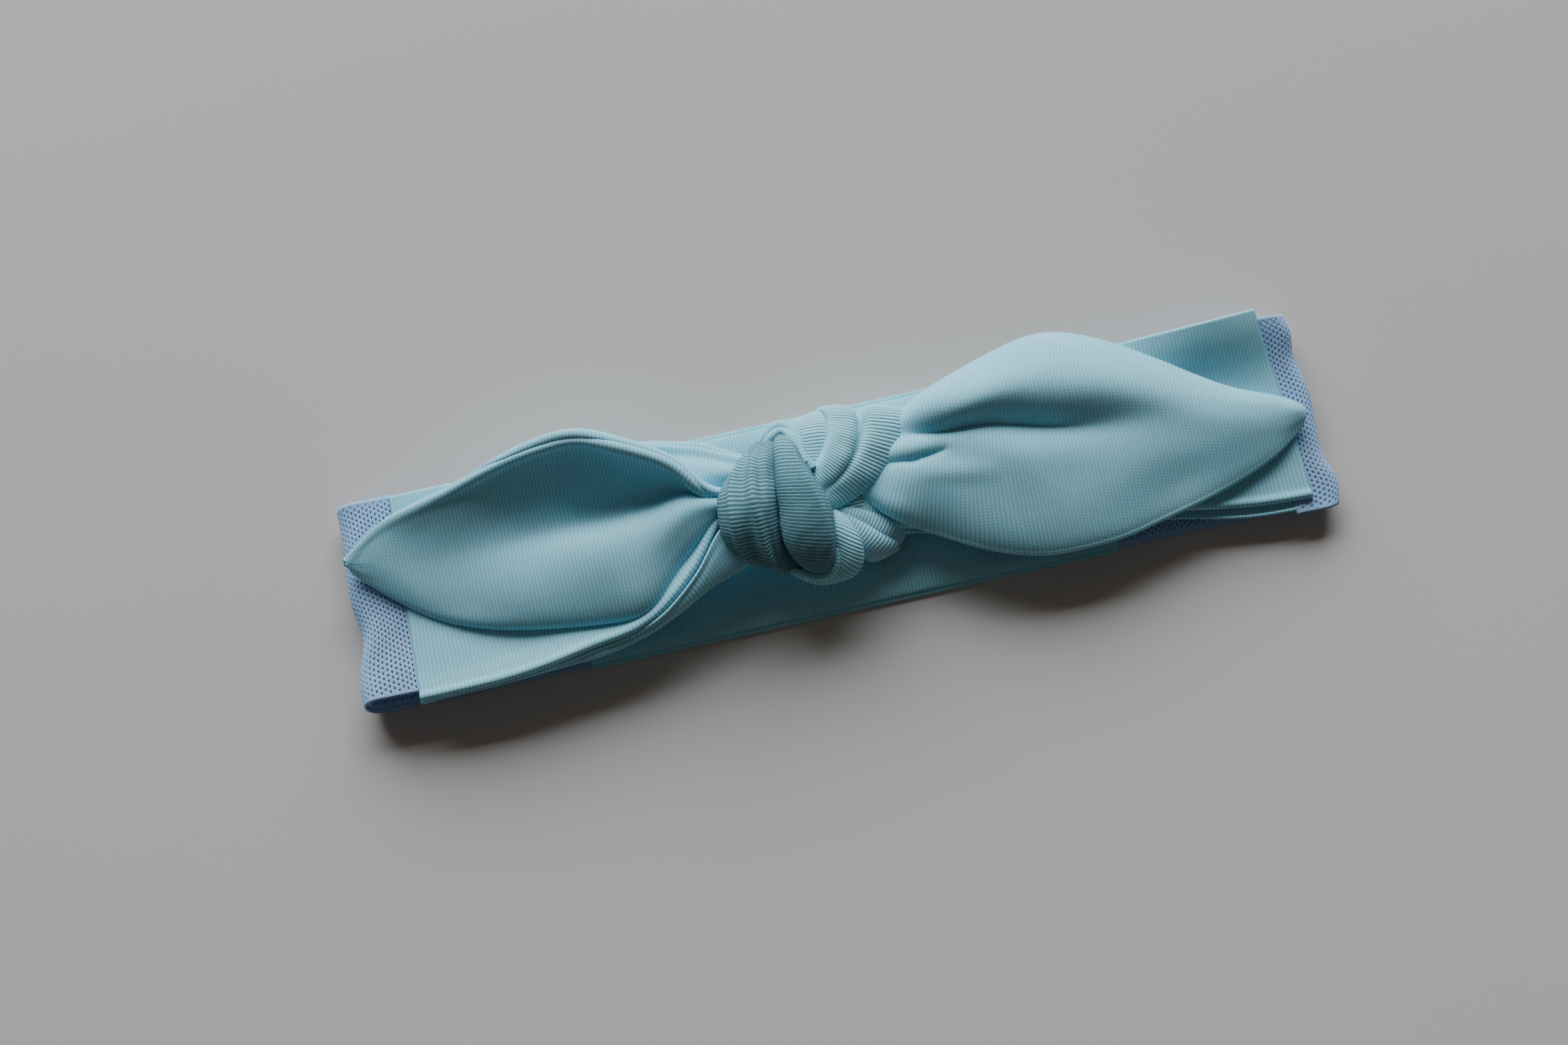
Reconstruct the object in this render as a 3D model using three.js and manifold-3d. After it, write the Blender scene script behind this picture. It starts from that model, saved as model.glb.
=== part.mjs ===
// A knotted spa headband, folded flat: a loop of soft two-ply tube that lies with its nape panel on
// the table and its knotted front on top. Millimetres, +Z up, X along the flattened loop, Y across it.
// The origin is on the table, under the middle of the nape panel.
import * as THREE from "three";
import { mergeVertices } from "three/addons/utils/BufferGeometryUtils.js";
import Module from "manifold-3d";

// ---- driving dimensions ------------------------------------------------------------------------
const flatLength = 250; // the loop laid flat, fold to fold
const bandWidth = 51; // across the tube
const plyThickness = 0.7; // one layer of jersey or mesh
const plyGap = 0.9; // air between a tube's two plies
const loopGap = 4.6; // between the nape and the front, where the head goes in
const napeLength = 136; // jersey panel at the back of the head
const leftMeshShow = 14; // mesh seen on top, between the fold and the front strip
const rightMeshShow = 9;
const joinGap = 0.3; // between two panels that are sewn edge to edge
const seamWidth = 4; // overlocked thread inside each join
const seamThickness = 0.3;
const seamInset = 1.5; // a seam stops this far inside the tube's edges
const knotHalf = 30; // the knot reaches this far from the middle on either side
const wrapBase = 0.8; // cloth under the crown of each knot wrap
const wrapClearance = 0.6; // between neighbouring pieces of cloth
const earRest = 0.5; // how much higher than its drawing an ear lies on the strip
const earRootGap = 1.6; // room for an ear to swing clear of the knot
const earRimGap = 0.5; // between an ear's plies at the sewn rim

// ---- levels and places that follow from them ---------------------------------------------------
const tubeThickness = 2 * plyThickness + plyGap;
const foldedHeight = 2 * tubeThickness + loopGap;
const frontLevel = foldedHeight - tubeThickness / 2; // middle of the front tube, laid flat
const halfLength = flatLength / 2;
const halfWidth = bandWidth / 2;
const halfNape = napeLength / 2;
const leftJoin = -halfLength + leftMeshShow;
const rightJoin = halfLength - rightMeshShow;

// Draped outlines are drawn for a band of this width, outside a knot of this size.
const drawn = { bandWidth: 51, knotHalf: 30 };

// Where each draped outline is drawn to end, and where it has to end.
const ends = {
  ear: { drawn: 125, real: halfLength },
  left: { drawn: 110.7, real: Math.abs(leftJoin) - joinGap },
  right: { drawn: 115.7, real: rightJoin - joinGap },
};

// Scales a drawn x with the knot inside it, and stretches it outside so that the outline meets its end.
function alongX(x, end) {
  const far = Math.abs(x) - drawn.knotHalf;
  if (far <= 0) return (x * knotHalf) / drawn.knotHalf;
  const stretch = (end.real - knotHalf) / (end.drawn - drawn.knotHalf);
  return Math.sign(x) * (knotHalf + far * stretch);
}
// A wider band also stands higher in its folds.
const widened = bandWidth / drawn.bandWidth;
function place(x, y, rise, end = ends.ear) {
  return new THREE.Vector3(alongX(x, end), y * widened, frontLevel + rise * widened);
}

// ---- draped shapes, drawn in millimetres, with heights above the flat front layer ----------------
// A row crosses the cloth from its far (+Y) edge to its near edge: x at each edge, then y and rise.
const leftStripRows = [
  [-110.7, -110.7, [25.5, 14, 3, -8, -17, -24, -25.8, -27], [0, 0, 0, 0, 0, 0, 0, 0]],
  [-98, -98, [25.5, 14, 3, -8, -17, -24, -25.6, -26.8], [0, 0.2, 0.3, 0.3, 0.2, 0.1, 0, 0]],
  [-84, -84, [25.5, 14, 3, -8, -17, -23.5, -25.2, -26], [0, 0.2, 0.3, 0.3, 0.2, 0.1, 0.1, 0.2]],
  [-70, -70, [25.4, 14, 3, -8, -16.5, -22.5, -24.2, -25], [0, 0.2, 0.2, 0.2, 0.2, 0.1, 0.4, 1.1]],
  [-58, -58, [25.2, 14, 3, -8, -15.5, -20.5, -23, -22.4], [0, 0.2, 0.2, 0.2, 0.2, 0.2, 1.4, 4]],
  [-50, -50, [25, 13, 3, -7, -13.5, -18, -20.6, -17.6], [0.2, 0.2, 0.2, 0.2, 0.2, 0.4, 2.6, 6.2]],
  [-42, -42, [24.3, 12, 3, -5, -11, -15, -16.2, -9.3], [0.8, 0.2, 0, 0, 0, 0.5, 3.4, 8]],
  [-35, -35, [22, 11, 4, -2, -8, -12.6, -13.2, -3.5], [2, 0.5, 0, 0, 0, 0.8, 4.6, 10]],
  [-28, -28, [19, 10, 4, 0, -5, -9.8, -10.2, 2.5], [4, 1, 0, 0, 0, 1, 5.2, 11]],
];
const rightStripRows = [
  [12, 12, [13, 10, 7, 3, 0, -3, -5, -6.5], [2.5, 1.6, 0.8, 0.4, 0.3, 0.2, 0.2, 0.3]],
  [22, 22, [18, 13, 8, 3, -1, -5, -8, -10], [1.8, 1.2, 0.6, 0.3, 0.2, 0.2, 0.1, 0.1]],
  [34, 34, [22, 15, 8, 2, -4, -8.5, -11.5, -13.5], [0.8, 0.6, 0.4, 0.3, 0.2, 0.2, 0, 0]],
  [50, 50, [24.2, 16, 8, 0, -6, -11, -14, -16], [0.2, 0.3, 0.3, 0.3, 0.2, 0.2, 0, 0]],
  [64, 64, [25, 16, 8, 0, -7, -12, -15, -17.5], [0, 0.2, 0.3, 0.3, 0.2, 0.1, 0, 0]],
  [78, 78, [25.8, 17, 9, 0, -8, -13, -16.3, -18.6], [0, 0.2, 0.3, 0.3, 0.2, 0.1, 0, 0]],
  [92, 92, [26.4, 17, 9, 0, -8, -14, -17.5, -19.8], [0, 0.2, 0.3, 0.3, 0.2, 0.1, 0, 0]],
  [104, 104, [27, 18, 9, 0, -8, -15, -19, -21.6], [0, 0.1, 0.2, 0.2, 0.1, 0.1, 0, 0]],
  [115.7, 115.7, [27.4, 18, 9, 0, -8, -15, -20, -22.8], [0, 0, 0, 0, 0, 0, 0, 0]],
];
const leftEarRows = [
  [
    -125.6, -125.6,
    [12.4, 12.2, 12, 11.8, 11.6, 11.4, 11.2, 11, 10.8],
    [2.2, 2.2, 2.2, 2.2, 2.2, 2.2, 2.2, 2.2, 2.2],
  ],
  [-122, -122, [14.6, 13.8, 13, 12, 11, 10, 9, 8, 7.2], [2.3, 2.8, 3, 3.1, 3.2, 3.1, 3, 2.7, 2.3]],
  [-116, -116, [18.8, 17, 15, 12.5, 10, 7.5, 5, 3, 1.4], [2.6, 3.4, 3.9, 4.1, 4.3, 4.3, 4, 3.4, 2.4]],
  [-106, -106, [22, 19.5, 16.5, 13, 9, 4.5, 0, -3.5, -5.9], [3.2, 4.1, 4.6, 4.9, 5.2, 5.4, 5, 4, 2.6]],
  [-94, -94, [25.4, 22.5, 19, 14.5, 9, 3.5, -3, -8, -11.2], [6, 5.8, 5.4, 5.2, 6, 6.8, 6.6, 5.2, 2.8]],
  [-82, -82, [29.8, 27, 23, 17, 10, 4, -3.5, -10, -14], [10.5, 8.5, 6.6, 5.2, 6, 8.6, 8.6, 6.6, 3]],
  [-70, -70, [32.6, 30, 26, 18.5, 10, 4.2, -4, -11, -15.6], [15, 11.5, 8.2, 4.6, 5.2, 10.2, 10.2, 8, 3.4]],
  [
    -60, -60,
    [31.8, 29.5, 26, 19, 10.5, 4.6, -4, -11.5, -16.4],
    [18, 14, 9.8, 4.2, 4.2, 11.2, 11.2, 8.6, 3.8],
  ],
  [-51, -51, [27.8, 25.8, 23, 17.5, 10, 5, -3, -9, -13], [19.5, 15.5, 10.8, 4.2, 4, 12, 11.8, 8.8, 4.6]],
  [-43, -43, [22.2, 20.5, 18.5, 14.5, 9.8, 6.3, 1.5, -3, -6], [18.5, 15, 10.8, 5, 4.6, 12, 11.6, 8.6, 5]],
  [
    -36, -36,
    [15.8, 14.8, 13.5, 11.5, 9.6, 7.8, 4.5, 1.5, -0.5],
    [15.5, 12.6, 9.8, 7.4, 7.2, 10.2, 10.4, 8.4, 6],
  ],
  [-30, -30, [10.6, 10.2, 9.8, 9.2, 8.6, 7.8, 6.6, 5.4, 4.4], [12, 10.8, 9.8, 9.1, 8.9, 9.3, 9.2, 8.2, 7]],
];
const rightEarRows = [
  [21.5, 8.5, [18.5, 17, 15, 13.6, 11.8, 8.6, 6.6, 4, 1.2], [8, 9.5, 9.3, 8.5, 9.2, 8.5, 8.9, 8.3, 6.5]],
  [25, 15, [21.8, 19.5, 17, 14.6, 12.3, 8.4, 5.8, 1.5, -4], [8.5, 11.4, 10.8, 9.2, 10.8, 9.6, 10.8, 10, 6]],
  [31, 24, [25.2, 22, 18.5, 14.9, 13, 9, 5, -2, -9.8], [9, 12.8, 11.5, 7.6, 12.2, 10.6, 12.4, 10.2, 5.6]],
  [
    40, 36,
    [28, 24.2, 19.5, 14.2, 12.4, 8.4, 3, -7, -16.8],
    [9.2, 13, 11.6, 6.4, 11.4, 12.4, 12.6, 10, 5.2],
  ],
  [50, 48, [31, 26.5, 20, 13, 9.6, 5, -1.5, -11, -21.3], [9, 13, 11, 5.4, 10.4, 12, 12.2, 9.6, 4.6]],
  [60, 60, [32.2, 27.5, 20.5, 11.5, 7.2, 2.5, -4, -13, -22.3], [8, 12.2, 10, 5.4, 9.6, 11.2, 11.4, 9, 4.4]],
  [70, 71, [29.5, 25.5, 19.5, 11.5, 6.6, 1.5, -5, -13, -21.7], [6.4, 10.2, 9, 6.4, 8.8, 10, 10.2, 8.2, 4]],
  [80, 82, [24.6, 21.5, 17, 11, 6, 1, -4.8, -12, -19.4], [5, 8, 8, 7.2, 8, 8.8, 8.8, 7, 3.6]],
  [92, 93, [17, 14.8, 12, 8, 4, 0, -4.6, -10.4, -16.9], [3.8, 5.8, 6.6, 7, 7.2, 7.2, 7, 5.6, 3.2]],
  [104, 105, [9.6, 8.2, 6.4, 4.2, 2, -0.8, -4, -8, -12.4], [3.2, 4.6, 5.4, 5.8, 5.8, 5.6, 5.2, 4.2, 2.9]],
  [
    114, 115,
    [5.4, 4.4, 3.2, 1.8, 0.4, -1.4, -3.2, -5.4, -7.6],
    [2.8, 3.6, 4.2, 4.4, 4.4, 4.2, 3.9, 3.3, 2.6],
  ],
  [
    120, 120.5,
    [1.8, 1.3, 0.8, 0.2, -0.3, -0.9, -1.5, -2.2, -2.9],
    [2.5, 2.8, 3, 3.1, 3.1, 3, 2.9, 2.7, 2.4],
  ],
  [
    121.8, 121.8,
    [0.5, 0.3, 0.1, -0.1, -0.3, -0.5, -0.7, -0.9, -1.1],
    [2.3, 2.3, 2.3, 2.3, 2.3, 2.3, 2.3, 2.3, 2.3],
  ],
];

// A knot wrap is a crowned fold: one edge, the other edge, and the height of its crown between them.
const knotWraps = {
  knot_front_wrap: [
    [[-10.6, 20.6, 9], [-8.8, 20.4, 9], 0.8],
    [[-12, 17.3, 10], [-6.8, 17, 10], 3],
    [[-13.2, 11, 11], [-4.9, 10.8, 10], 5],
    [[-14, 5, 12], [-2, 5, 10], 6.5],
    [[-14.4, 0, 12], [-1.4, 0, 9], 7],
    [[-14.5, -5, 11], [-1.9, -5, 7.5], 7],
    [[-13, -10, 8], [-2.9, -10, 5.5], 6],
    [[-9, -14, 4.5], [-4, -14.5, 4], 3.5],
    [[-6.8, -15.3, 3], [-5, -15.8, 3], 1],
  ],
  knot_left_wrap: [
    [[-15.6, 19.6, 8], [-11, 21, 8.5], 1],
    [[-20.5, 16.8, 5], [-12.6, 17.5, 10], 4],
    [[-26.5, 12.5, 3], [-13.8, 11, 11], 5.5],
    [[-29.8, 6, 3], [-14.5, 5, 12], 6],
    [[-30, 0, 3], [-15, 0, 12], 6],
    [[-28.5, -4.5, 2.4], [-15.1, -5, 11], 5.5],
    [[-23, -8, 2.2], [-13.6, -10.6, 8], 4],
    [[-15.5, -11.5, 1.6], [-9, -14.6, 4], 2.5],
  ],
  knot_right_wrap: [
    [[2.2, 26, 1.5], [22.4, 21.6, 1.5], 2],
    [[2.6, 22.5, 7], [21.8, 18.8, 4.5], 4.5],
    [[1.8, 18.5, 9.5], [19.7, 14.8, 5.5], 5.5],
    [[-0.6, 13.8, 10], [16.8, 10.8, 6.5], 6],
    [[-3, 10, 10], [13, 7, 7], 6],
    [[-2, 6.3, 9.5], [8.8, 4, 7.5], 5],
    [[-1.2, 3.2, 9], [4.5, 1.8, 8], 3.5],
    [[-1, 1.2, 8.5], [0.8, 0.4, 8.2], 1],
  ],
  knot_top_loop: [
    [[-14.8, 20.6, 6], [1.4, 25.4, 4], 1.5],
    [[-9.6, 23.4, 6], [2.2, 22, 7], 2.6],
    [[-6.8, 20, 8.5], [2, 18.5, 9], 2.6],
    [[-6, 16, 10], [0.2, 14.7, 9.5], 2.2],
    [[-5, 12.6, 9.5], [-2, 12.3, 9], 1.4],
    [[-4.4, 10.4, 8.5], [-3.4, 10.4, 8.5], 0.5],
  ],
  knot_under_wrap: [
    [[-15.5, -11.6, 3], [-17, -12.8, 0.6], 0.6],
    [[-12, -13.5, 3], [-13.5, -16, 0.2], 2],
    [[-8, -15, 3], [-9, -18.4, 0.2], 3],
    [[-4.5, -14.5, 4], [-3.5, -18.8, 0.2], 3.5],
    [[-3, -12, 5], [1.5, -17.5, 0.3], 4.5],
    [[-2.5, -9, 6], [4.5, -14.6, 1], 5],
    [[-2, -5, 7], [4.3, -10, 3], 4.5],
    [[-1.5, -2.5, 7], [2, -5, 5], 3],
    [[-1.4, -0.6, 7], [0.2, -2, 6.5], 1],
  ],
  knot_fan_pleats: [
    [[0.5, 1, 8], [0.3, -2.5, 7], 1.2],
    [[5, 1.5, 7], [3, -6, 5.5], 2.4],
    [[10, -1, 5.5], [4.6, -10.5, 3.5], 3],
    [[15, -4.5, 3], [8, -14.4, 1], 3],
    [[19, -7, 0.6], [12.6, -14.8, 0.2], 1.6],
  ],
};
// The knot's middle, where the two ties cross out of sight.
const knotCore = { x: -5, y: 3, rise: 2.6, halfX: 19, halfY: 14, halfZ: 3.2 };

// ---- cloth solids --------------------------------------------------------------------------------
function catmullRom(a, b, c, d, t) {
  const t2 = t * t;
  const t3 = t2 * t;
  return 0.5 * (2 * b + (c - a) * t + (2 * a - 5 * b + 4 * c - d) * t2 + (3 * b - a - 3 * c + d) * t3);
}

// A smooth value along a list, at a fraction from 0 to 1. The curve passes through each entry.
function along(list, fraction, mix) {
  const at = fraction * (list.length - 1);
  const i = Math.min(Math.floor(at), list.length - 2);
  const pick = (k) => list[Math.min(Math.max(k, 0), list.length - 1)];
  return mix(pick(i - 1), pick(i), pick(i + 1), pick(i + 2), at - i);
}
const mixPoints = (a, b, c, d, t) =>
  new THREE.Vector3(...["x", "y", "z"].map((k) => catmullRom(a[k], b[k], c[k], d[k], t)));

// The smooth sheet through drawn rows, as a function of (across, down), both from 0 to 1.
function sheetThrough(rows, end, lift = 0) {
  const grid = rows.map(([xFar, xNear, ys, rises]) =>
    ys.map((y, i) => {
      const share = (ys[0] - y) / (ys[0] - ys[ys.length - 1]);
      return place(xFar + (xNear - xFar) * share, y, rises[i] + lift, end);
    }),
  );
  return (u, v) => along(grid.map((row) => along(row, u, mixPoints)), v, mixPoints);
}

// Which way is up from the sheet at (u, v).
function sheetNormal(sheet, u, v) {
  const step = 1e-3;
  const du = sheet(Math.min(u + step, 1), v).sub(sheet(Math.max(u - step, 0), v));
  const dv = sheet(u, Math.min(v + step, 1)).sub(sheet(u, Math.max(v - step, 0)));
  return du.cross(dv).normalize();
}

// A closed band of quads: rings of equal length, capped at both ends.
function closedLoft(rings) {
  const n = rings[0].length;
  const points = rings.flat();
  const triangles = [];
  for (let i = 0; i + 1 < rings.length; i++)
    for (let j = 0; j < n; j++) {
      const a = i * n + j;
      const b = i * n + ((j + 1) % n);
      triangles.push(a, b, b + n, a, b + n, a + n);
    }
  for (const [ring, turn] of [[0, 1], [rings.length - 1, 0]]) {
    const hub = points.length;
    points.push(rings[ring].reduce((sum, p) => sum.add(p), new THREE.Vector3()).divideScalar(n));
    for (let j = 0; j < n; j++) {
      const a = ring * n + j;
      const b = ring * n + ((j + 1) % n);
      triangles.push(...(turn ? [hub, b, a] : [hub, a, b]));
    }
  }
  const geometry = new THREE.BufferGeometry().setFromPoints(points);
  return geometry.setIndex(triangles);
}

// One ply of a sheet: the slab between two distances above its middle surface.
function ply(sheet, { across, down, low, high }) {
  const rings = [];
  for (let i = 0; i <= down; i++) {
    const v = i / down;
    const steps = Array.from({ length: across + 1 }, (_, j) => j / across);
    const at = (u, height) => sheet(u, v).addScaledVector(sheetNormal(sheet, u, v), height(u));
    rings.push([...steps.map((u) => at(u, high)), ...steps.reverse().map((u) => at(u, low))]);
  }
  return closedLoft(rings);
}

// A crowned fold between two edges, made `grow` larger all round when it is used as a cutter.
function wrapSolid(stations, grow = 0) {
  const crownSteps = 7;
  const drawnSteps = Math.round((stations.length - 1) * 1.5);
  const rings = [];
  const edge = (k) => stations.map((s) => place(...s[k]));
  const left = edge(0);
  const right = edge(1);
  const crowns = stations.map((s) => s[2]);
  for (let i = 0; i <= drawnSteps; i++) {
    const f = i / drawnSteps;
    const a = along(left, f, mixPoints);
    const b = along(right, f, mixPoints);
    const chord = b.clone().sub(a).normalize();
    const up = new THREE.Vector3(0, 0, 1).addScaledVector(chord, -chord.z).normalize();
    a.addScaledVector(chord, -grow);
    b.addScaledVector(chord, grow);
    const crown = along(crowns, f, catmullRom) + grow;
    const ring = [];
    for (let j = 0; j <= crownSteps; j++) {
      const angle = (Math.PI * j) / crownSteps;
      const p = a.clone().lerp(b, (1 - Math.cos(angle)) / 2);
      ring.push(p.addScaledVector(up, crown * Math.sin(angle)));
    }
    for (const share of [0.8, 0.2])
      ring.push(a.clone().lerp(b, share).addScaledVector(up, -wrapBase - grow));
    rings.push(ring);
  }
  for (const [end, inner] of [[0, 1], [rings.length - 1, rings.length - 2]]) {
    const middle = (ring) => ring.reduce((s, p) => s.add(p), new THREE.Vector3()).divideScalar(ring.length);
    const out = middle(rings[end]).sub(middle(rings[inner])).normalize().multiplyScalar(grow);
    rings[end].forEach((p) => p.add(out));
  }
  return closedLoft(rings);
}

// ---- joining and cutting -------------------------------------------------------------------------
const wasm = await Module();
wasm.setup();

// A closed solid facing out, whichever way its rings were wound.
function solid(geometry) {
  const bare = geometry.clone();
  for (const name of ["normal", "uv"]) bare.deleteAttribute(name);
  const merged = mergeVertices(bare, 1e-4);
  const vertProperties = merged.attributes.position.array;
  const make = (triVerts) => new wasm.Manifold(new wasm.Mesh({ numProp: 3, vertProperties, triVerts }));
  const triangles = new Uint32Array(merged.index.array);
  const made = make(triangles);
  return made.volume() > 0 ? made : make(triangles.reverse());
}

// The largest body of a solid, so that a cut leaves no crumbs.
const largest = (shape) => shape.decompose().reduce((best, s) => (s.volume() > best.volume() ? s : best));
const cutBy = (shape, cutters) => largest(cutters.reduce((left, c) => left.subtract(c), shape));

function geometryOf(shape) {
  const mesh = shape.getMesh();
  const points = new Float32Array(mesh.numVert * 3);
  for (let i = 0; i < mesh.numVert; i++)
    points.set(mesh.vertProperties.subarray(i * mesh.numProp, i * mesh.numProp + 3), i * 3);
  return new THREE.BufferGeometry()
    .setAttribute("position", new THREE.BufferAttribute(points, 3))
    .setIndex(new THREE.BufferAttribute(mesh.triVerts, 1));
}

// ---- materials -----------------------------------------------------------------------------------
const cloth = (color) => new THREE.MeshStandardMaterial({ color, roughness: 0.9, metalness: 0 });
const jersey = cloth(0xa5cfdc);
const mesh = cloth(0xa0c3e0);
const thread = cloth(0x9cc8d4);

// ---- sub-parts -----------------------------------------------------------------------------------
const headband = new THREE.Group();

function add(name, shape, material) {
  const made = new THREE.Mesh(shape.isBufferGeometry ? shape : geometryOf(shape), material);
  made.name = name;
  headband.add(made);
  return made;
}

// The nape panel is a flat two-ply tube on the table.
function addNape() {
  const slab = new THREE.BoxGeometry(napeLength - 2 * joinGap, bandWidth, plyThickness);
  add("nape_outer_ply", slab, jersey).position.z = plyThickness / 2;
  add("nape_inner_ply", slab, jersey).position.z = tubeThickness - plyThickness / 2;
}

// A mesh side ply goes out along the nape's level, round the end fold and back to the front strip.
function meshProfile(outerRadius, outward, show) {
  const innerRadius = outerRadius - plyThickness;
  const middle = foldedHeight / 2;
  const bend = halfLength - foldedHeight / 2;
  const shape = new THREE.Shape();
  const top = halfLength - show;
  shape.moveTo(outward * halfNape, middle - outerRadius);
  shape.lineTo(outward * bend, middle - outerRadius);
  shape.absarc(outward * bend, middle, outerRadius, -Math.PI / 2, Math.PI / 2, outward < 0);
  shape.lineTo(outward * top, middle + outerRadius);
  shape.lineTo(outward * top, middle + innerRadius);
  shape.lineTo(outward * bend, middle + innerRadius);
  shape.absarc(outward * bend, middle, innerRadius, Math.PI / 2, -Math.PI / 2, outward > 0);
  shape.lineTo(outward * halfNape, middle - innerRadius);
  shape.closePath();
  return shape;
}

function addMeshSide(side, outward, show) {
  const plies = { outer: foldedHeight / 2, inner: foldedHeight / 2 - plyThickness - plyGap };
  for (const [which, radius] of Object.entries(plies)) {
    const profile = meshProfile(radius, outward, show);
    const options = { depth: bandWidth, bevelEnabled: false, curveSegments: 6 };
    const extruded = new THREE.ExtrudeGeometry(profile, options);
    extruded.rotateX(Math.PI / 2).translate(0, halfWidth, 0);
    add(`${side}_mesh_${which}_ply`, solid(extruded), mesh);
  }
}

// Overlocked thread between the plies, across each join of two panels.
function addJoinSeam(name, x, tubeBottom) {
  const bar = new THREE.BoxGeometry(seamWidth, bandWidth - 2 * seamInset, seamThickness);
  add(name, bar, thread).position.set(x, 0, tubeBottom + tubeThickness / 2);
}

const outerPly = { low: () => plyGap / 2, high: () => plyGap / 2 + plyThickness };
const innerPly = { low: () => -plyGap / 2 - plyThickness, high: () => -plyGap / 2 };

// An ear's plies part in the middle and close up at the sewn rim.
const earHalfGap = (u) => (earRimGap + (plyGap - earRimGap) * Math.sin(Math.PI * u)) / 2;
const earOuterPly = { low: earHalfGap, high: (u) => earHalfGap(u) + plyThickness };
const earInnerPly = { low: (u) => -earHalfGap(u) - plyThickness, high: (u) => -earHalfGap(u) };

// Knot wraps in the order they lie, each cut clear of those above it.
function addKnot() {
  const cutters = [];
  for (const [name, stations] of Object.entries(knotWraps)) {
    add(name, cutBy(solid(wrapSolid(stations)), cutters), jersey);
    cutters.push(solid(wrapSolid(stations, wrapClearance)));
  }
  const ball = (grow) => {
    const { halfX, halfY, halfZ } = knotCore;
    const sphere = new THREE.SphereGeometry(1, 16, 10);
    sphere.scale(halfX + grow, halfY + grow, halfZ + grow);
    const at = place(knotCore.x, knotCore.y, knotCore.rise);
    return solid(sphere.translate(at.x, at.y, at.z));
  };
  add("knot_core", cutBy(ball(0), cutters), jersey);
  cutters.push(ball(wrapClearance));
  return cutters;
}

function addStrip(side, rows, knot) {
  const sheet = sheetThrough(rows, ends[side]);
  for (const [which, levels] of [["outer", outerPly], ["inner", innerPly]]) {
    const shape = solid(ply(sheet, { across: 12, down: 12, ...levels }));
    add(`${side}_strip_${which}_ply`, cutBy(shape, knot), jersey);
  }
}

function addEar(side, rows, root) {
  const sheet = sheetThrough(rows, ends.ear, earRest);
  for (const [which, levels] of [["outer", earOuterPly], ["inner", earInnerPly]]) {
    const shape = solid(ply(sheet, { across: 12, down: 14, ...levels }));
    add(`${side}_ear_${which}_ply`, cutBy(shape, root), jersey);
  }
}

addNape();
addMeshSide("left", -1, leftMeshShow);
addMeshSide("right", 1, rightMeshShow);
addJoinSeam("nape_left_seam", -halfNape, 0);
addJoinSeam("nape_right_seam", halfNape, 0);
addJoinSeam("front_left_seam", leftJoin, foldedHeight - tubeThickness);
addJoinSeam("front_right_seam", rightJoin, foldedHeight - tubeThickness);
const knotCutters = addKnot();
const earCutters = Object.values(knotWraps).map((stations) => solid(wrapSolid(stations, earRootGap)));
addStrip("left", leftStripRows, knotCutters);
addStrip("right", rightStripRows, knotCutters);
addEar("left", leftEarRows, earCutters);
addEar("right", rightEarRows, earCutters);

export default headband;
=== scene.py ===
"""A knotted spa headband, lying flat: jersey tube, mesh sides, tied knot and two pointed tie ends.

Every length in the classes below is in millimetres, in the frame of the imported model: +X along the
flattened loop, +Y across it, +Z up, with the origin on the table under the nape panel.
"""

from __future__ import annotations

import logging
import math
from dataclasses import dataclass, field
from enum import Enum
from functools import partial

import bpy
import numpy as np
from mathutils import Matrix, Vector

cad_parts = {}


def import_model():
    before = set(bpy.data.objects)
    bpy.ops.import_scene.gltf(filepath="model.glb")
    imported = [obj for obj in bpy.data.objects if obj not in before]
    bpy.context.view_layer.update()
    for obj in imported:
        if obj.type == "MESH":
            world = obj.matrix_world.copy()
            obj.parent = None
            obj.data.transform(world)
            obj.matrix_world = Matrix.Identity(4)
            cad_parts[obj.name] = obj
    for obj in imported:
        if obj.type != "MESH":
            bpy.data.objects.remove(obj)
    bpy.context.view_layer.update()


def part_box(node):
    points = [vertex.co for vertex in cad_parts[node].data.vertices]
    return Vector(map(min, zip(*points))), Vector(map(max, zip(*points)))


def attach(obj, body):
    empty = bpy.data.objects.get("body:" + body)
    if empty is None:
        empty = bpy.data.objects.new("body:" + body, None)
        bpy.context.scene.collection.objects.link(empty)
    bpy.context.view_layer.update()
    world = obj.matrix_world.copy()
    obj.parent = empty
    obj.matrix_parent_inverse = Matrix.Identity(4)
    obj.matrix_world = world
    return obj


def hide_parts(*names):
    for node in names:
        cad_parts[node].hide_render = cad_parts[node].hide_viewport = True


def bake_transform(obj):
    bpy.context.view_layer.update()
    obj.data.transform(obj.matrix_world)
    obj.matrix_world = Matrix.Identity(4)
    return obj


LOG = logging.getLogger("headband")
MM = 0.001
CLOTH_UV = "cloth"
Triple = tuple[float, float, float]
Row = tuple[Triple, ...]
Line = tuple[float, ...]
Pairs = tuple[tuple[float, float], ...]


class Body(Enum):
    """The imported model's moving bodies."""

    NAPE = "nape"
    FRONT = "front"
    LEFT_EAR = "left_ear"
    RIGHT_EAR = "right_ear"


class Held(Enum):
    LAID = "laid"
    FOLDED = "folded"
    GATHERED = "gathered"


class Side(Enum):
    """An end of the flattened loop, with the sign of its x."""

    LEFT = -1
    RIGHT = 1

    @property
    def word(self) -> str:
        """The side's name as the nodes spell it."""
        return self.name.lower()


# ---- cloth geometry ------------------------------------------------------------------------------


def linear_rgb(code: str) -> tuple[float, float, float, float]:
    """Turn an sRGB hex colour into the linear colour that shaders take.

    Args:
        code: six hex digits, such as "93c6d2".

    Returns:
        Red, green, blue and an alpha of 1.
    """
    parts = [int(code[i : i + 2], 16) / 255 for i in (0, 2, 4)]
    made = [c / 12.92 if c <= 0.04045 else ((c + 0.055) / 1.055) ** 2.4 for c in parts]
    return (made[0], made[1], made[2], 1.0)


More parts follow.
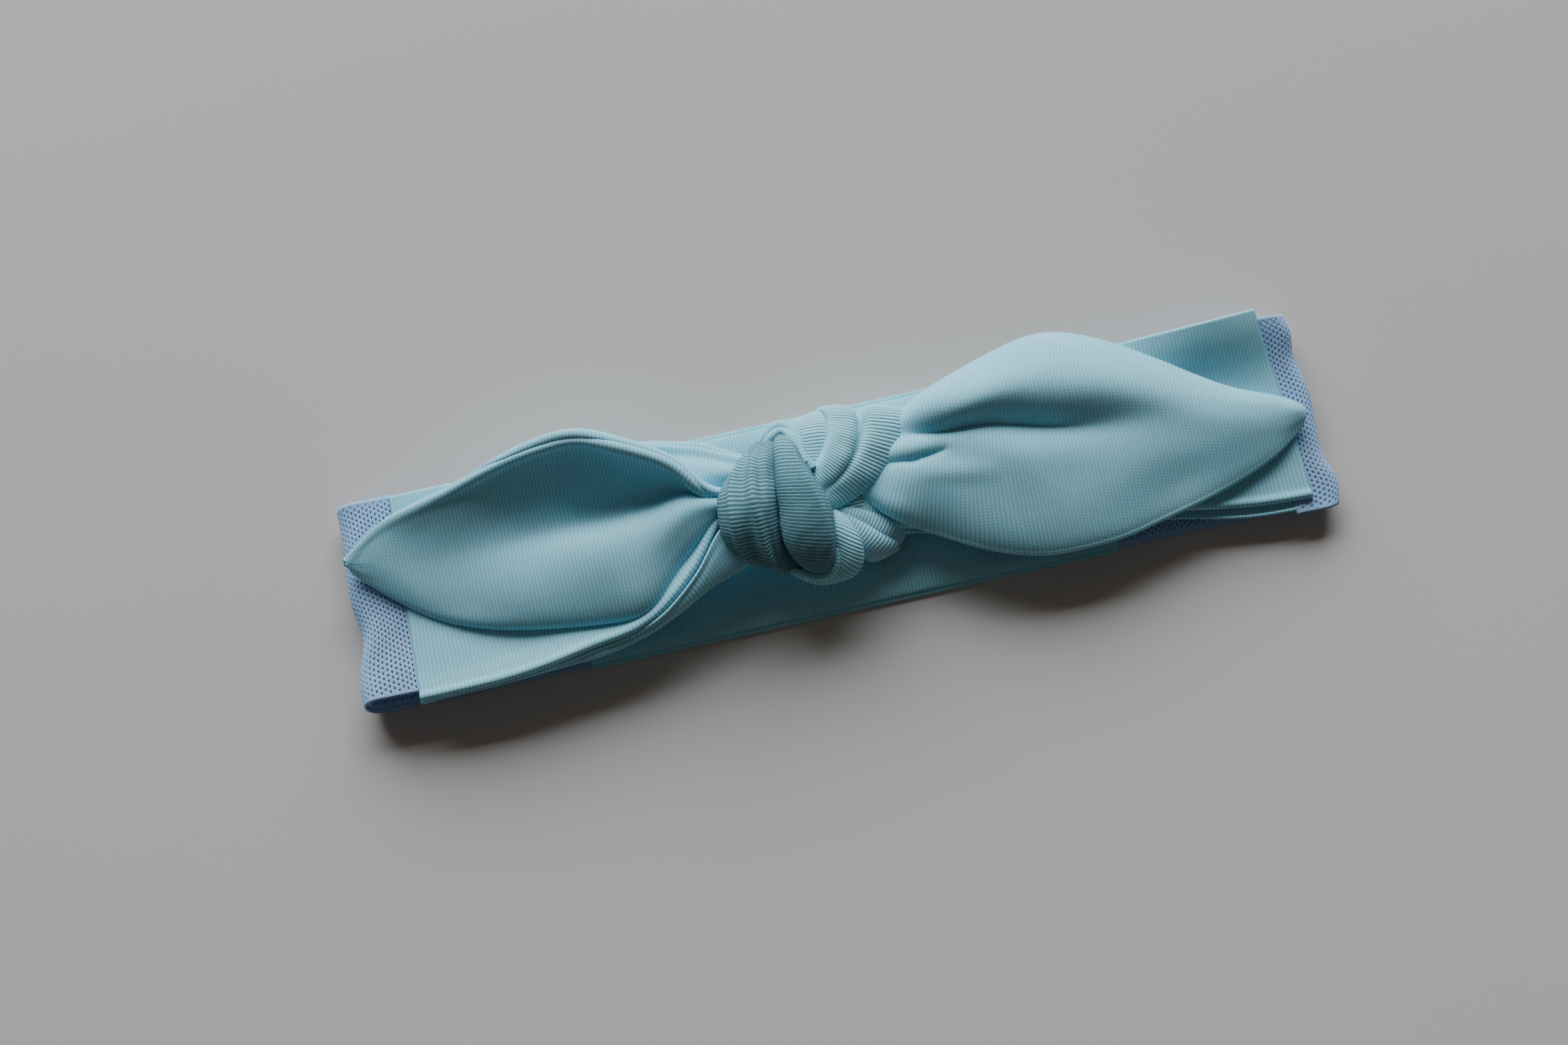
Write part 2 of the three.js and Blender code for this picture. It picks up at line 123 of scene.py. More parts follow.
def smooth_curve(knots: np.ndarray, values: np.ndarray, at: np.ndarray) -> np.ndarray:
    """Evaluate the natural cubic curve through the given values.

    Args:
        knots: rising parameters, one for each value.
        values: what the curve passes through, stacked along the first axis.
        at: the parameters to evaluate at.

    Returns:
        The curve's values, stacked along the first axis.
    """
    count = len(knots)
    flat = values.reshape(count, -1).astype(float)
    step = np.diff(knots)
    system = np.zeros((count, count))
    right = np.zeros_like(flat)
    system[0, 0] = system[-1, -1] = 1.0
    for i in range(1, count - 1):
        system[i, i - 1 : i + 2] = step[i - 1], 2 * (step[i - 1] + step[i]), step[i]
        right[i] = 6 * ((flat[i + 1] - flat[i]) / step[i] - (flat[i] - flat[i - 1]) / step[i - 1])
    bend = np.linalg.solve(system, right)
    i = np.clip(np.searchsorted(knots, at, side="right") - 1, 0, count - 2)
    h = step[i][:, None]
    a = (knots[i + 1] - at)[:, None] / h
    b = 1 - a
    made = a * flat[i] + b * flat[i + 1]
    made += ((a**3 - a) * bend[i] + (b**3 - b) * bend[i + 1]) * h**2 / 6
    return made.reshape((len(at),) + values.shape[1:])


def spacing(points: np.ndarray, power: float = 0.75) -> np.ndarray:
    """Give knots for a curve through rows of points, from the mean distance between the rows.

    Args:
        points: rows of points, stacked along the first axis.
        power: 1 spaces the knots by distance, and 0 evenly.

    Returns:
        The knots, starting at 0.
    """
    gaps = np.linalg.norm(np.diff(points, axis=0), axis=-1).reshape(len(points) - 1, -1).mean(1)
    return np.concatenate([[0.0], np.cumsum(np.maximum(gaps, 1e-3) ** power)])


def unit(vectors: np.ndarray) -> np.ndarray:
    """Scale vectors along the last axis to length 1."""
    return vectors / np.maximum(np.linalg.norm(vectors, axis=-1, keepdims=True), 1e-9)


def ripple(x: np.ndarray, y: np.ndarray, wave: float, seed: int) -> np.ndarray:
    """Give a gentle unevenness between -1 and 1, the same on every run.

    Args:
        x: positions along one direction.
        y: positions along the other.
        wave: the distance from one swell to the next.
        seed: picks another pattern.

    Returns:
        The unevenness at each position.
    """
    rng = np.random.default_rng(seed)
    total = np.zeros_like(x)
    for _ in range(7):
        turn, phase = rng.uniform(0, 2 * math.pi, 2)
        pitch = 2 * math.pi / (wave * rng.uniform(0.7, 1.5))
        total += np.sin(pitch * (x * math.cos(turn) + y * math.sin(turn)) + phase)
    return total / 4.5


@dataclass(frozen=True)
class Eye:
    """The place above the table from which the drawn rows and stations look as they are written.

    The plan is drawn at its true size at one height, and anything above that height sits a little
    nearer to the eye.
    """

    turn: float = 11.6
    elevation: float = 80.0
    distance: float = 555.5
    aim: Triple = (-13.3, -3.7, 4.6)

    def axes(self) -> tuple[np.ndarray, np.ndarray, np.ndarray]:
        """Work out the eye's own directions.

        Returns:
            To the right, ahead along the table, and from the table to the eye.
        """
        turn, tilt = math.radians(self.turn), math.radians(self.elevation)
        right = np.array([math.cos(turn), -math.sin(turn), 0.0])
        ahead = np.array([math.sin(turn), math.cos(turn), 0.0])
        back = np.array([0.0, 0.0, 1.0]) * math.sin(tilt) - ahead * math.cos(tilt)
        return right, ahead, back

    def target(self) -> np.ndarray:
        """Give the point that the eye looks at."""
        right, ahead, _ = self.axes()
        return right * self.aim[0] + ahead * self.aim[1] + np.array([0.0, 0.0, self.aim[2]])

    def settle(self, drawn: np.ndarray) -> np.ndarray:
        """Move drawn points along their lines of sight to their own heights.

        Args:
            drawn: points whose x and y are drawn in plan, and whose z is true.

        Returns:
            The points in space.
        """
        right, ahead, back = self.axes()
        up = np.cross(back, right)
        start = self.target() + back * self.distance
        flat = drawn[..., :2] @ np.stack([right[:2], ahead[:2]], axis=1)
        slope = (flat - np.array(self.aim[:2])) / self.distance
        ray = slope[..., :1] * right + slope[..., 1:] * up - back
        reach = (start[2] - drawn[..., 2:]) / -ray[..., 2:]
        return start + ray * reach


EYE = Eye()


@dataclass
class Cloth:
    """A sheet of cloth as a grid of points, with the cloth's own coordinates.

    The grid's first axis runs along the cloth, and the second across it. The wales, the knit's ribs,
    lie across it.
    """

    points: np.ndarray
    across: np.ndarray = field(init=False)
    along: np.ndarray = field(init=False)

    def __post_init__(self) -> None:
        """Measure the cloth's own coordinates, in millimetres."""
        self.measure()

    def measure(self) -> None:
        """Measure the distance across and along the cloth at each point."""
        steps = np.linalg.norm(np.diff(self.points, axis=1), axis=-1)
        run = np.concatenate([np.zeros((len(steps), 1)), np.cumsum(steps, axis=1)], axis=1)
        self.across = run - run[:, -1:] / 2
        rows = np.linalg.norm(np.diff(self.points, axis=0), axis=-1)
        mean = np.median(rows, axis=1)
        down = np.concatenate([[0.0], np.cumsum(mean)])
        self.along = np.repeat(down[:, None], self.points.shape[1], axis=1)

    @classmethod
    def through(
        cls, rows: tuple[Row, ...], step_along: float, step_across: float, level: float = 0.0
    ) -> "Cloth":
        """Make the smooth sheet through drawn rows of points.

        Args:
            rows: each row crosses the cloth, and all have equally many points.
            step_along: the distance between the grid's rows.
            step_across: the distance between the grid's columns, which is finer near the edges.
            level: the height that the rows' rises are measured from.

        Returns:
            The sheet.
        """
        drawn = np.array(rows, float)
        if level:
            drawn[..., 2] += level
            drawn = EYE.settle(drawn)
        down, over = spacing(drawn), spacing(drawn.transpose(1, 0, 2))
        length = np.linalg.norm(np.diff(drawn, axis=0), axis=-1).sum(0).max()
        width = np.linalg.norm(np.diff(drawn, axis=1), axis=-1).sum(1).max()
        v = np.linspace(0, down[-1], max(int(length / step_along), 8) + 1)
        columns = max(int(width / step_across), 10) + 1
        even = np.linspace(-1, 1, columns)
        eased = even + 0.42 * np.sin(math.pi * even) / math.pi
        u = (eased + 1) / 2 * over[-1]
        body = smooth_curve(down, drawn, v)
        return cls(smooth_curve(over, body.transpose(1, 0, 2), u).transpose(1, 0, 2))

    def normals(self) -> np.ndarray:
        """Work out the unit normals.

        Returns:
            A normal for each point, pointing up on the whole.
        """
        down = np.gradient(self.points, axis=0)
        over = np.gradient(self.points, axis=1)
        made = unit(np.cross(down, over))
        return made if made[..., 2].mean() >= 0 else -made

    def moved(self, amount: np.ndarray | float) -> "Cloth":
        """Move the sheet along its normals.

        Args:
            amount: how far, for the whole sheet or for each point.

        Returns:
            The moved sheet, with its own coordinates kept.
        """
        shift = np.broadcast_to(np.asarray(amount, float), self.across.shape)
        made = Cloth(self.points + self.normals() * shift[..., None])
        made.across, made.along = self.across, self.along
        return made

    def trimmed(self, first: np.ndarray, last: np.ndarray) -> "Cloth":
        """Give the sheet cut narrower along its two edges.

        Args:
            first: how much to take off each row's first edge.
            last: how much to take off each row's last edge.

        Returns:
            The narrower sheet, with the same number of points.
        """
        made = np.empty_like(self.points)
        across = self.across.copy()
        for i, where in enumerate(self.across):
            run = where - where[0]
            wanted = first[i] + run / run[-1] * (run[-1] - first[i] - last[i])
            for k in range(3):
                made[i, :, k] = np.interp(wanted, run, self.points[i, :, k])
            across[i] = where[0] + wanted
        cut = Cloth(made)
        cut.across, cut.along = across, self.along
        return cut

    def edge_distance(self) -> tuple[np.ndarray, np.ndarray]:
        """Give each point's distance across the cloth from its first and from its last edge."""
        return self.across - self.across[:, :1], self.across[:, -1:] - self.across

    def ribbed(self, pitch: float, height: float) -> "Cloth":
        """Give the sheet with its wales raised as real ridges."""
        ridge = np.abs(np.sin(math.pi * self.along / pitch))
        return self.moved(height * (ridge**0.8 - 0.6))

    def slanted(self, slope: float) -> "Cloth":
        """Turn the sheet's wales.

        Args:
            slope: how far along they run for each millimetre across.

        Returns:
            The same sheet, with its wales turned.
        """
        made = Cloth(self.points)
        made.across, made.along = self.across, self.along - slope * self.across
        return made

    def size(self) -> tuple[float, float]:
        """Measure the flat cloth.

        Returns:
            Its greatest width and its mean length over the surface, in metres.
        """
        width = float((self.across[:, -1] - self.across[:, 0]).max())
        length = float(np.mean(self.along[-1] - self.along[0]))
        return width * MM, length * MM


def seam_roll(distance: np.ndarray, radius: float | np.ndarray) -> np.ndarray:
    """Give the swelling beside a sewn edge, over the turned-in allowance.

    Args:
        distance: how far each point is from the edge.
        radius: the roll's radius.

    Returns:
        The extra height of the cloth there.
    """
    near = radius * np.sqrt(np.clip(1 - ((distance - radius) / radius) ** 2, 0, 1))
    far = radius * np.exp(-(((distance - radius) / (1.25 * radius)) ** 2))
    return np.where(distance < radius, near, far)


class ClothMaker:
    """Turns sheets into solid cloth objects with rounded rims."""

    rim_steps = 4

    def build(self, name: str, cloth: Cloth, thickness: float, finish: "Finish") -> bpy.types.Object:
        """Build one piece of cloth.

        Args:
            name: the piece's name.
            cloth: its middle surface.
            thickness: how thick the cloth is.
            finish: its material.

        Returns:
            The finished object, at the origin.
        """
        rows, columns = cloth.across.shape
        normal = cloth.normals()
        half = thickness / 2
        top = (cloth.points + normal * half).reshape(-1, 3)
        low = (cloth.points - normal * half).reshape(-1, 3)
        loop = self.boundary(rows, columns)
        inner = self.inward(rows, columns, loop)
        middle = cloth.points.reshape(-1, 3)
        rim_normal = normal.reshape(-1, 3)[loop]
        out = middle[loop] - middle[inner]
        out = unit(out - rim_normal * (out * rim_normal).sum(-1, keepdims=True))
        rims = []
        for k in range(1, self.rim_steps):
            angle = math.pi * k / self.rim_steps
            rims.append(middle[loop] + half * (rim_normal * math.cos(angle) + out * math.sin(angle)))
        points = np.concatenate([top, low, *rims])
        faces = self.faces(rows, columns, loop)
        flat = np.stack([cloth.across, cloth.along], axis=-1).reshape(-1, 2)
        uv = np.concatenate([flat, flat] + [flat[loop]] * len(rims))
        return self.object(name, points, faces, uv, finish)

    @staticmethod
    def boundary(rows: int, columns: int) -> np.ndarray:
        """Give the grid's outline as one loop of point indices."""
        index = np.arange(rows * columns).reshape(rows, columns)
        return np.concatenate([index[0, :-1], index[:-1, -1], index[-1, :0:-1], index[:0:-1, 0]])

    @staticmethod
    def inward(rows: int, columns: int, loop: np.ndarray) -> np.ndarray:
        """Step in from the outline.

        Args:
            rows: the number of rows in the grid.
            columns: the number of columns in it.
            loop: the outline's points.

        Returns:
            For each of them, the grid point just inside it.
        """
        i = np.clip(loop // columns, 1, rows - 2)
        j = np.clip(loop % columns, 1, columns - 2)
        return i * columns + j

    def faces(self, rows: int, columns: int, loop: np.ndarray) -> np.ndarray:
        """Join up a solid sheet.

        Args:
            rows: the number of rows in the grid.
            columns: the number of columns in it.
            loop: the outline's points.

        Returns:
            The quads of both sides and of the rim.
        """
        index = np.arange(rows * columns).reshape(rows, columns)
        a, b = index[:-1, :-1].ravel(), index[:-1, 1:].ravel()
        d, c = index[1:, :-1].ravel(), index[1:, 1:].ravel()
        total = rows * columns
        upper = np.stack([a, b, c, d], axis=1)
        lower = np.stack([a, d, c, b], axis=1) + total
        rings = [loop]
        for k in range(self.rim_steps - 1):
            rings.append(2 * total + k * len(loop) + np.arange(len(loop)))
        rings.append(loop + total)
        sides = []
        for one, two in zip(rings[:-1], rings[1:]):
            sides.append(np.stack([one, two, np.roll(two, -1), np.roll(one, -1)], axis=1))
        return np.concatenate([upper, lower, *sides])

    @staticmethod
    def object(
        name: str, points: np.ndarray, faces: np.ndarray, uv: np.ndarray, finish: "Finish"
    ) -> bpy.types.Object:
        """Make a mesh object of quads with cloth coordinates, facing outwards.

        Args:
            name: the piece's name.
            points: its points, in millimetres.
            faces: four indices for each face.
            uv: the cloth coordinates of each point, in millimetres.
            finish: its material.

        Returns:
            The object, linked to the scene.
        """
        corner = points[faces]
        volume = 0.0
        for one, two in ((1, 2), (2, 3)):
            span = np.cross(corner[:, one] - corner[:, 0], corner[:, two] - corner[:, 0])
            volume += np.einsum("ij,ij->i", corner[:, 0], span).sum()
        if volume < 0:
            faces = faces[:, ::-1]
        mesh = bpy.data.meshes.new(name)
        mesh.vertices.add(len(points))
        mesh.vertices.foreach_set("co", (points * MM).astype(np.float32).ravel())
        mesh.loops.add(faces.size)
        mesh.loops.foreach_set("vertex_index", faces.astype(np.int32).ravel())
        mesh.polygons.add(len(faces))
        mesh.polygons.foreach_set("loop_start", np.arange(0, faces.size, 4, dtype=np.int32))
        mesh.update(calc_edges=True)
        layer = mesh.uv_layers.new(name=CLOTH_UV)
        layer.data.foreach_set("uv", uv[faces.ravel()].astype(np.float32).ravel())
        mesh.polygons.foreach_set("use_smooth", np.ones(len(faces), dtype=bool))
        mesh.materials.append(finish.material())
        mesh.validate()
        made = bpy.data.objects.new(name, mesh)
        bpy.context.collection.objects.link(made)
        return made


# ---- finishes ------------------------------------------------------------------------------------


class NodeBench:
    """Builds one material's node tree."""

    def __init__(self, name: str) -> None:
        """Start a material with one shader.

        Args:
            name: the material's name.
        """
        self.material = bpy.data.materials.new(name)
        self.material.use_nodes = True
        self.tree = self.material.node_tree
        self.shader = self.tree.nodes["Principled BSDF"]

    def add(
        self, kind: str, *feeds: object, out: int | str = 0, **settings: object
    ) -> bpy.types.NodeSocket:
        """Add a node with its settings and links.

        Args:
            kind: the node's type, without its common beginning.
            feeds: what goes into its first sockets, each another node's output, a value or None.
            out: which output to give back.
            settings: the node's properties.

        Returns:
            The chosen output.
        """
        made = self.tree.nodes.new("ShaderNode" + kind)
        for key, value in settings.items():
            setattr(made, key, value)
        open_sockets = [socket for socket in made.inputs if socket.enabled]
        for socket, value in zip(open_sockets, feeds):
            self.link(value, socket)
        return made.outputs[out]

    def link(self, value: object, socket: bpy.types.NodeSocket) -> None:
        """Feed a socket.

        Args:
            value: another node's output to link, a plain value to set, or None to leave it.
            socket: the socket to feed.
        """
        if isinstance(value, bpy.types.NodeSocket):
            self.tree.links.new(value, socket)
        elif value is not None:
            socket.default_value = value

    def dress(self, **values: object) -> None:
        """Set or link the shader's own sockets, by their names with underscores."""
        for name, value in values.items():
            self.link(value, self.shader.inputs[name.replace("_", " ")])


@dataclass(frozen=True)
class Finish:
    """A finish that makes its material once."""

    name: str

    def material(self) -> bpy.types.Material:
        """Give the finish's material, making it the first time."""
        return bpy.data.materials.get(self.name) or self.make()

    def make(self) -> bpy.types.Material:
        """Make the material."""
        raise NotImplementedError


@dataclass(frozen=True)
class KnitFinish(Finish):
    """Weft-knitted cotton, dyed in the piece.

    Its wales stand up as ribs of small V loops, a soft fuzz dulls it, and the dye is a little uneven.
    """

    ridge: str
    # The colour of the grooves between the ribs, darker as painted shade.
    groove_shade: str
    wale: float
    course: float
    depth: float
    sharp: float = 0.75
    loops: float = 0.3
    fuzz: float = 0.35
    drift: float = 0.4
    # Swells per metre: the wales stray over 6 mm, the fuzz has a tuft each 0.4 mm, and the dye
    # drifts over 18 mm.
    strays: float = 160.0
    tufts: float = 2600.0
    blotches: float = 55.0

    def make(self) -> bpy.types.Material:
        """Make the knit's material.

        Returns:
            The material, with ribs that rise and painted shade, a darker colour, in the grooves between
            them.
        """
        bench = NodeBench(self.name)
        add = bench.add
        cloth = add("UVMap", uv_map=CLOTH_UV)
        across = add("SeparateXYZ", cloth, out=0)
        along = add("SeparateXYZ", cloth, out=1)
        place = add("TexCoord", out="Object")
        wander = add("TexNoise", place, self.strays, 2.0, out="Fac")
        drift = add("Math", wander, self.drift, -self.drift / 2, operation="MULTIPLY_ADD")
        phase = add("Math", along, 1 / self.wale, drift, operation="MULTIPLY_ADD")
        swing = add("Math", add("Math", phase, math.pi, operation="MULTIPLY"), operation="SINE")
        ridge = add("Math", add("Math", swing, operation="ABSOLUTE"), self.sharp, operation="POWER")
        tooth = add("Math", add("Math", phase, operation="FRACT"), 0.5, operation="SUBTRACT")
        slope = add("Math", add("Math", tooth, operation="ABSOLUTE"), 1.1, operation="MULTIPLY")
        stitch = add("Math", across, 1 / self.course, slope, operation="MULTIPLY_ADD")
        turn = add("Math", add("Math", stitch, 2 * math.pi, operation="MULTIPLY"), operation="SINE")
        loop = add("Math", turn, self.loops / 2, 1 - self.loops / 2, operation="MULTIPLY_ADD")
        fuzz = add("TexNoise", place, self.tufts, 3.0, out="Fac")
        shape = add("Math", ridge, loop, operation="MULTIPLY")
        height = add("Math", fuzz, self.fuzz, shape, operation="MULTIPLY_ADD")
        tone = add("Clamp", height)
        # The grooves' colour is painted shade: the cloth is one colour, and this mix darkens it where the
        # height is low between the ribs.
        ribs_with_painted_shade = add("Mix", tone, linear_rgb(self.groove_shade), linear_rgb(self.ridge), data_type="RGBA", out=2)
        blotch = add("TexNoise", place, self.blotches, 3.0, out="Fac")
        value = add("Math", blotch, 0.14, 0.93, operation="MULTIPLY_ADD")
        depth = add("Math", blotch, -0.12, 1.06, operation="MULTIPLY_ADD")
        shade = add("HueSaturation", None, depth, value, None, ribs_with_painted_shade)
        rough = add("Math", fuzz, 0.15, 0.8, operation="MULTIPLY_ADD")
        bench.dress(Base_Color=shade, Roughness=rough, Specular_IOR_Level=0.2)
        bench.dress(Sheen_Weight=0.06, Sheen_Roughness=0.45)
        bench.dress(Normal=add("Bump", 1.0, self.depth * MM, None, height))
        return bench.material


@dataclass(frozen=True)
class ThreadFinish(Finish):
    """Spun polyester sewing thread, whose slanting twist shows as fine dark lines."""

    light: str
    dark: str
    twist: float = 0.5

    def make(self) -> bpy.types.Material:
        """Make the thread's material.

        Returns:
            The material, with the twist as slanting lines.
        """
        bench = NodeBench(self.name)
        add = bench.add
        coords = add("UVMap", uv_map=CLOTH_UV)
        round_it = add("SeparateXYZ", coords, out=0)
        along = add("SeparateXYZ", coords, out=1)
        slant = add("Math", along, 1 / self.twist, round_it, operation="MULTIPLY_ADD")
        turn = add("Math", add("Math", slant, 2 * math.pi, operation="MULTIPLY"), operation="SINE")
        share = add("Math", turn, 0.5, 0.5, operation="MULTIPLY_ADD")
        spun = add("Mix", share, linear_rgb(self.dark), linear_rgb(self.light), data_type="RGBA", out=2)
        bench.dress(Base_Color=spun, Roughness=0.6, Normal=add("Bump", 1.0, 0.04 * MM, None, share))
        return bench.material


@dataclass(frozen=True)
class TableFinish(Finish):
    """Matt laminate, a plain pale table top with a faint unevenness."""

    light: str
    dark: str

    def make(self) -> bpy.types.Material:
        """Make the table top's material.

        Returns:
            The material, faintly clouded.
        """
        bench = NodeBench(self.name)
        cloud = bench.add("TexNoise", bench.add("TexCoord", out="Object"), 3.0, 4.0, out="Fac")
        dark, light = linear_rgb(self.dark), linear_rgb(self.light)
        top = bench.add("Mix", cloud, dark, light, data_type="RGBA", out=2)
        bench.dress(Base_Color=top, Roughness=0.55, Specular_IOR_Level=0.3)
        return bench.material


# The second colour of each knit is painted shade, the darker tone of the grooves between its ribs.
JERSEY = KnitFinish("aqua_rib_jersey", "a3e3f6", "72bfd4", wale=0.92, course=0.8, depth=0.06, loops=0.22)
# Pulled tight in the knot, the jersey opens between its ribs. Its near-black groove colour is painted shade
# between the ribs, and it darkens the whole knot as painted shade too.
TIGHT_JERSEY_PAINTED_SHADE = KnitFinish(
    "aqua_rib_jersey_pulled", "a0e0f0", "144250",
    wale=0.84, course=0.9, depth=0.08, sharp=1.25, loops=0.15, drift=0.0,
)
# The mesh is a finer polyester knit, whose ribs hardly show beside its holes; its darker blue is painted
# shade in the grooves.
MESH_KNIT = KnitFinish("periwinkle_eyelet_knit", "aed4fb", "7caae0", wale=0.47, course=0.7, depth=0.05)
OVERLOCK = ThreadFinish("aqua_sewing_thread", "a9d3df", "6fa3b2")
TABLE = TableFinish("pale_laminate", "d7d1cd", "cdc7c3")


# ---- levels of the flattened loop ---------------------------------------------------------------


@dataclass(frozen=True)
class Levels:
    """Heights in the flattened loop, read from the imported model."""

    half_length: float
    half_width: float
    nape_half: float
    nape_top: float
    folded: float
    front: float
    left_join: float
    right_join: float

    @classmethod
    def read(cls) -> "Levels":
        """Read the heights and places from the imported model's boxes.

        Returns:
            The levels, in millimetres.
        """
        low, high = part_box("nape_outer_ply")
        fold_low, fold_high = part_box("left_mesh_outer_ply")
        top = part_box("nape_inner_ply")[1][2] / MM
        folded = fold_high[2] / MM
        return cls(
            half_length=-fold_low[0] / MM,
            half_width=high[1] / MM,
            nape_half=high[0] / MM,
            nape_top=top,
            folded=folded,
            front=folded - top / 2,
            left_join=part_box("left_strip_outer_ply")[0][0] / MM,
            right_join=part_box("right_strip_outer_ply")[1][0] / MM,
        )


class Piece:
    """Shared steps for a finished piece of cloth: hiding the imported nodes it stands for and logging its
    size.
    """

    maker = ClothMaker()

    @staticmethod
    def declare(
        piece: bpy.types.Object,
        cloth: Cloth,
        nodes: tuple[str, ...],
        slot: str,
        held: Held,
        rests_on: tuple[str, ...],
        hems: tuple[bpy.types.Object, ...] = (),
    ) -> None:
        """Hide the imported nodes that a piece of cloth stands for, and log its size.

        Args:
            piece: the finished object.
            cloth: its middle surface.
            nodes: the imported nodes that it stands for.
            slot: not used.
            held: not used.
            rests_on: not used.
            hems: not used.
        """
        width, length = cloth.size()
        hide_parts(*nodes)
        faces = len(piece.data.polygons)
        LOG.info("%s: %.0f x %.0f mm, %d faces", piece.name, width / MM, length / MM, faces)


# ---- nape ----------------------------------------------------------------------------------------


@dataclass
class NapePanel(Piece):
    """The jersey tube at the back of the head, flat on the table."""

    levels: Levels
    thickness: float = 0.9
    edge_inset: float = 1.2
    edge_drop: float = 0.45
    ply_middle: float = 0.5
    slew: float = 0.02
    swell: float = 0.35
    columns: Line = (-1.0, -0.93, -0.6, -0.2, 0.2, 0.6, 0.93, 1.0)

    def build(self) -> None:
        """Build the outer and the inner ply."""
        upper = self.levels.nape_top - self.ply_middle
        self.ply("nape_outer", self.ply_middle, 0.0, ())
        self.ply("nape_inner", upper, self.edge_inset, ("nape_outer",))

    def ply(self, name: str, level: float, inset: float, on: tuple[str, ...]) -> None:
        """Build one ply of the nape.

        Args:
            name: the piece's name.
            level: the height of its middle surface.
            inset: how far its edges stop short of the other ply's.
            on: what it lies on.
        """
        half, width = self.levels.nape_half + 1.0, self.levels.half_width + 0.4
        rows = []
        for x in np.linspace(-half, half, 9):
            middle = x * self.slew
            row = []
            for share in self.columns:
                y = middle - share * (width - inset)
                drop = self.edge_drop if abs(share) == 1.0 and inset else 0.0
                row.append((float(x), float(y), level - drop))
            rows.append(tuple(row))
        cloth = Cloth.through(tuple(rows), step_along=1.1, step_across=1.0)
        x, y = cloth.points[..., 0], cloth.points[..., 1]
        lift = self.swell * (0.5 + 0.5 * ripple(x, y, wave=34, seed=11)) if inset else np.zeros_like(x)
        near, far = cloth.edge_distance()
        lift = lift * np.clip(np.minimum(near, far) / 4, 0, 1)
        cloth.points[..., 2] += lift
        piece = self.maker.build(name, cloth, self.thickness, JERSEY)
        self.declare(piece, cloth, (f"{name}_ply",), "jersey", Held.LAID, on)
        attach(piece, Body.NAPE.value)


# ---- mesh sides ----------------------------------------------------------------------------------


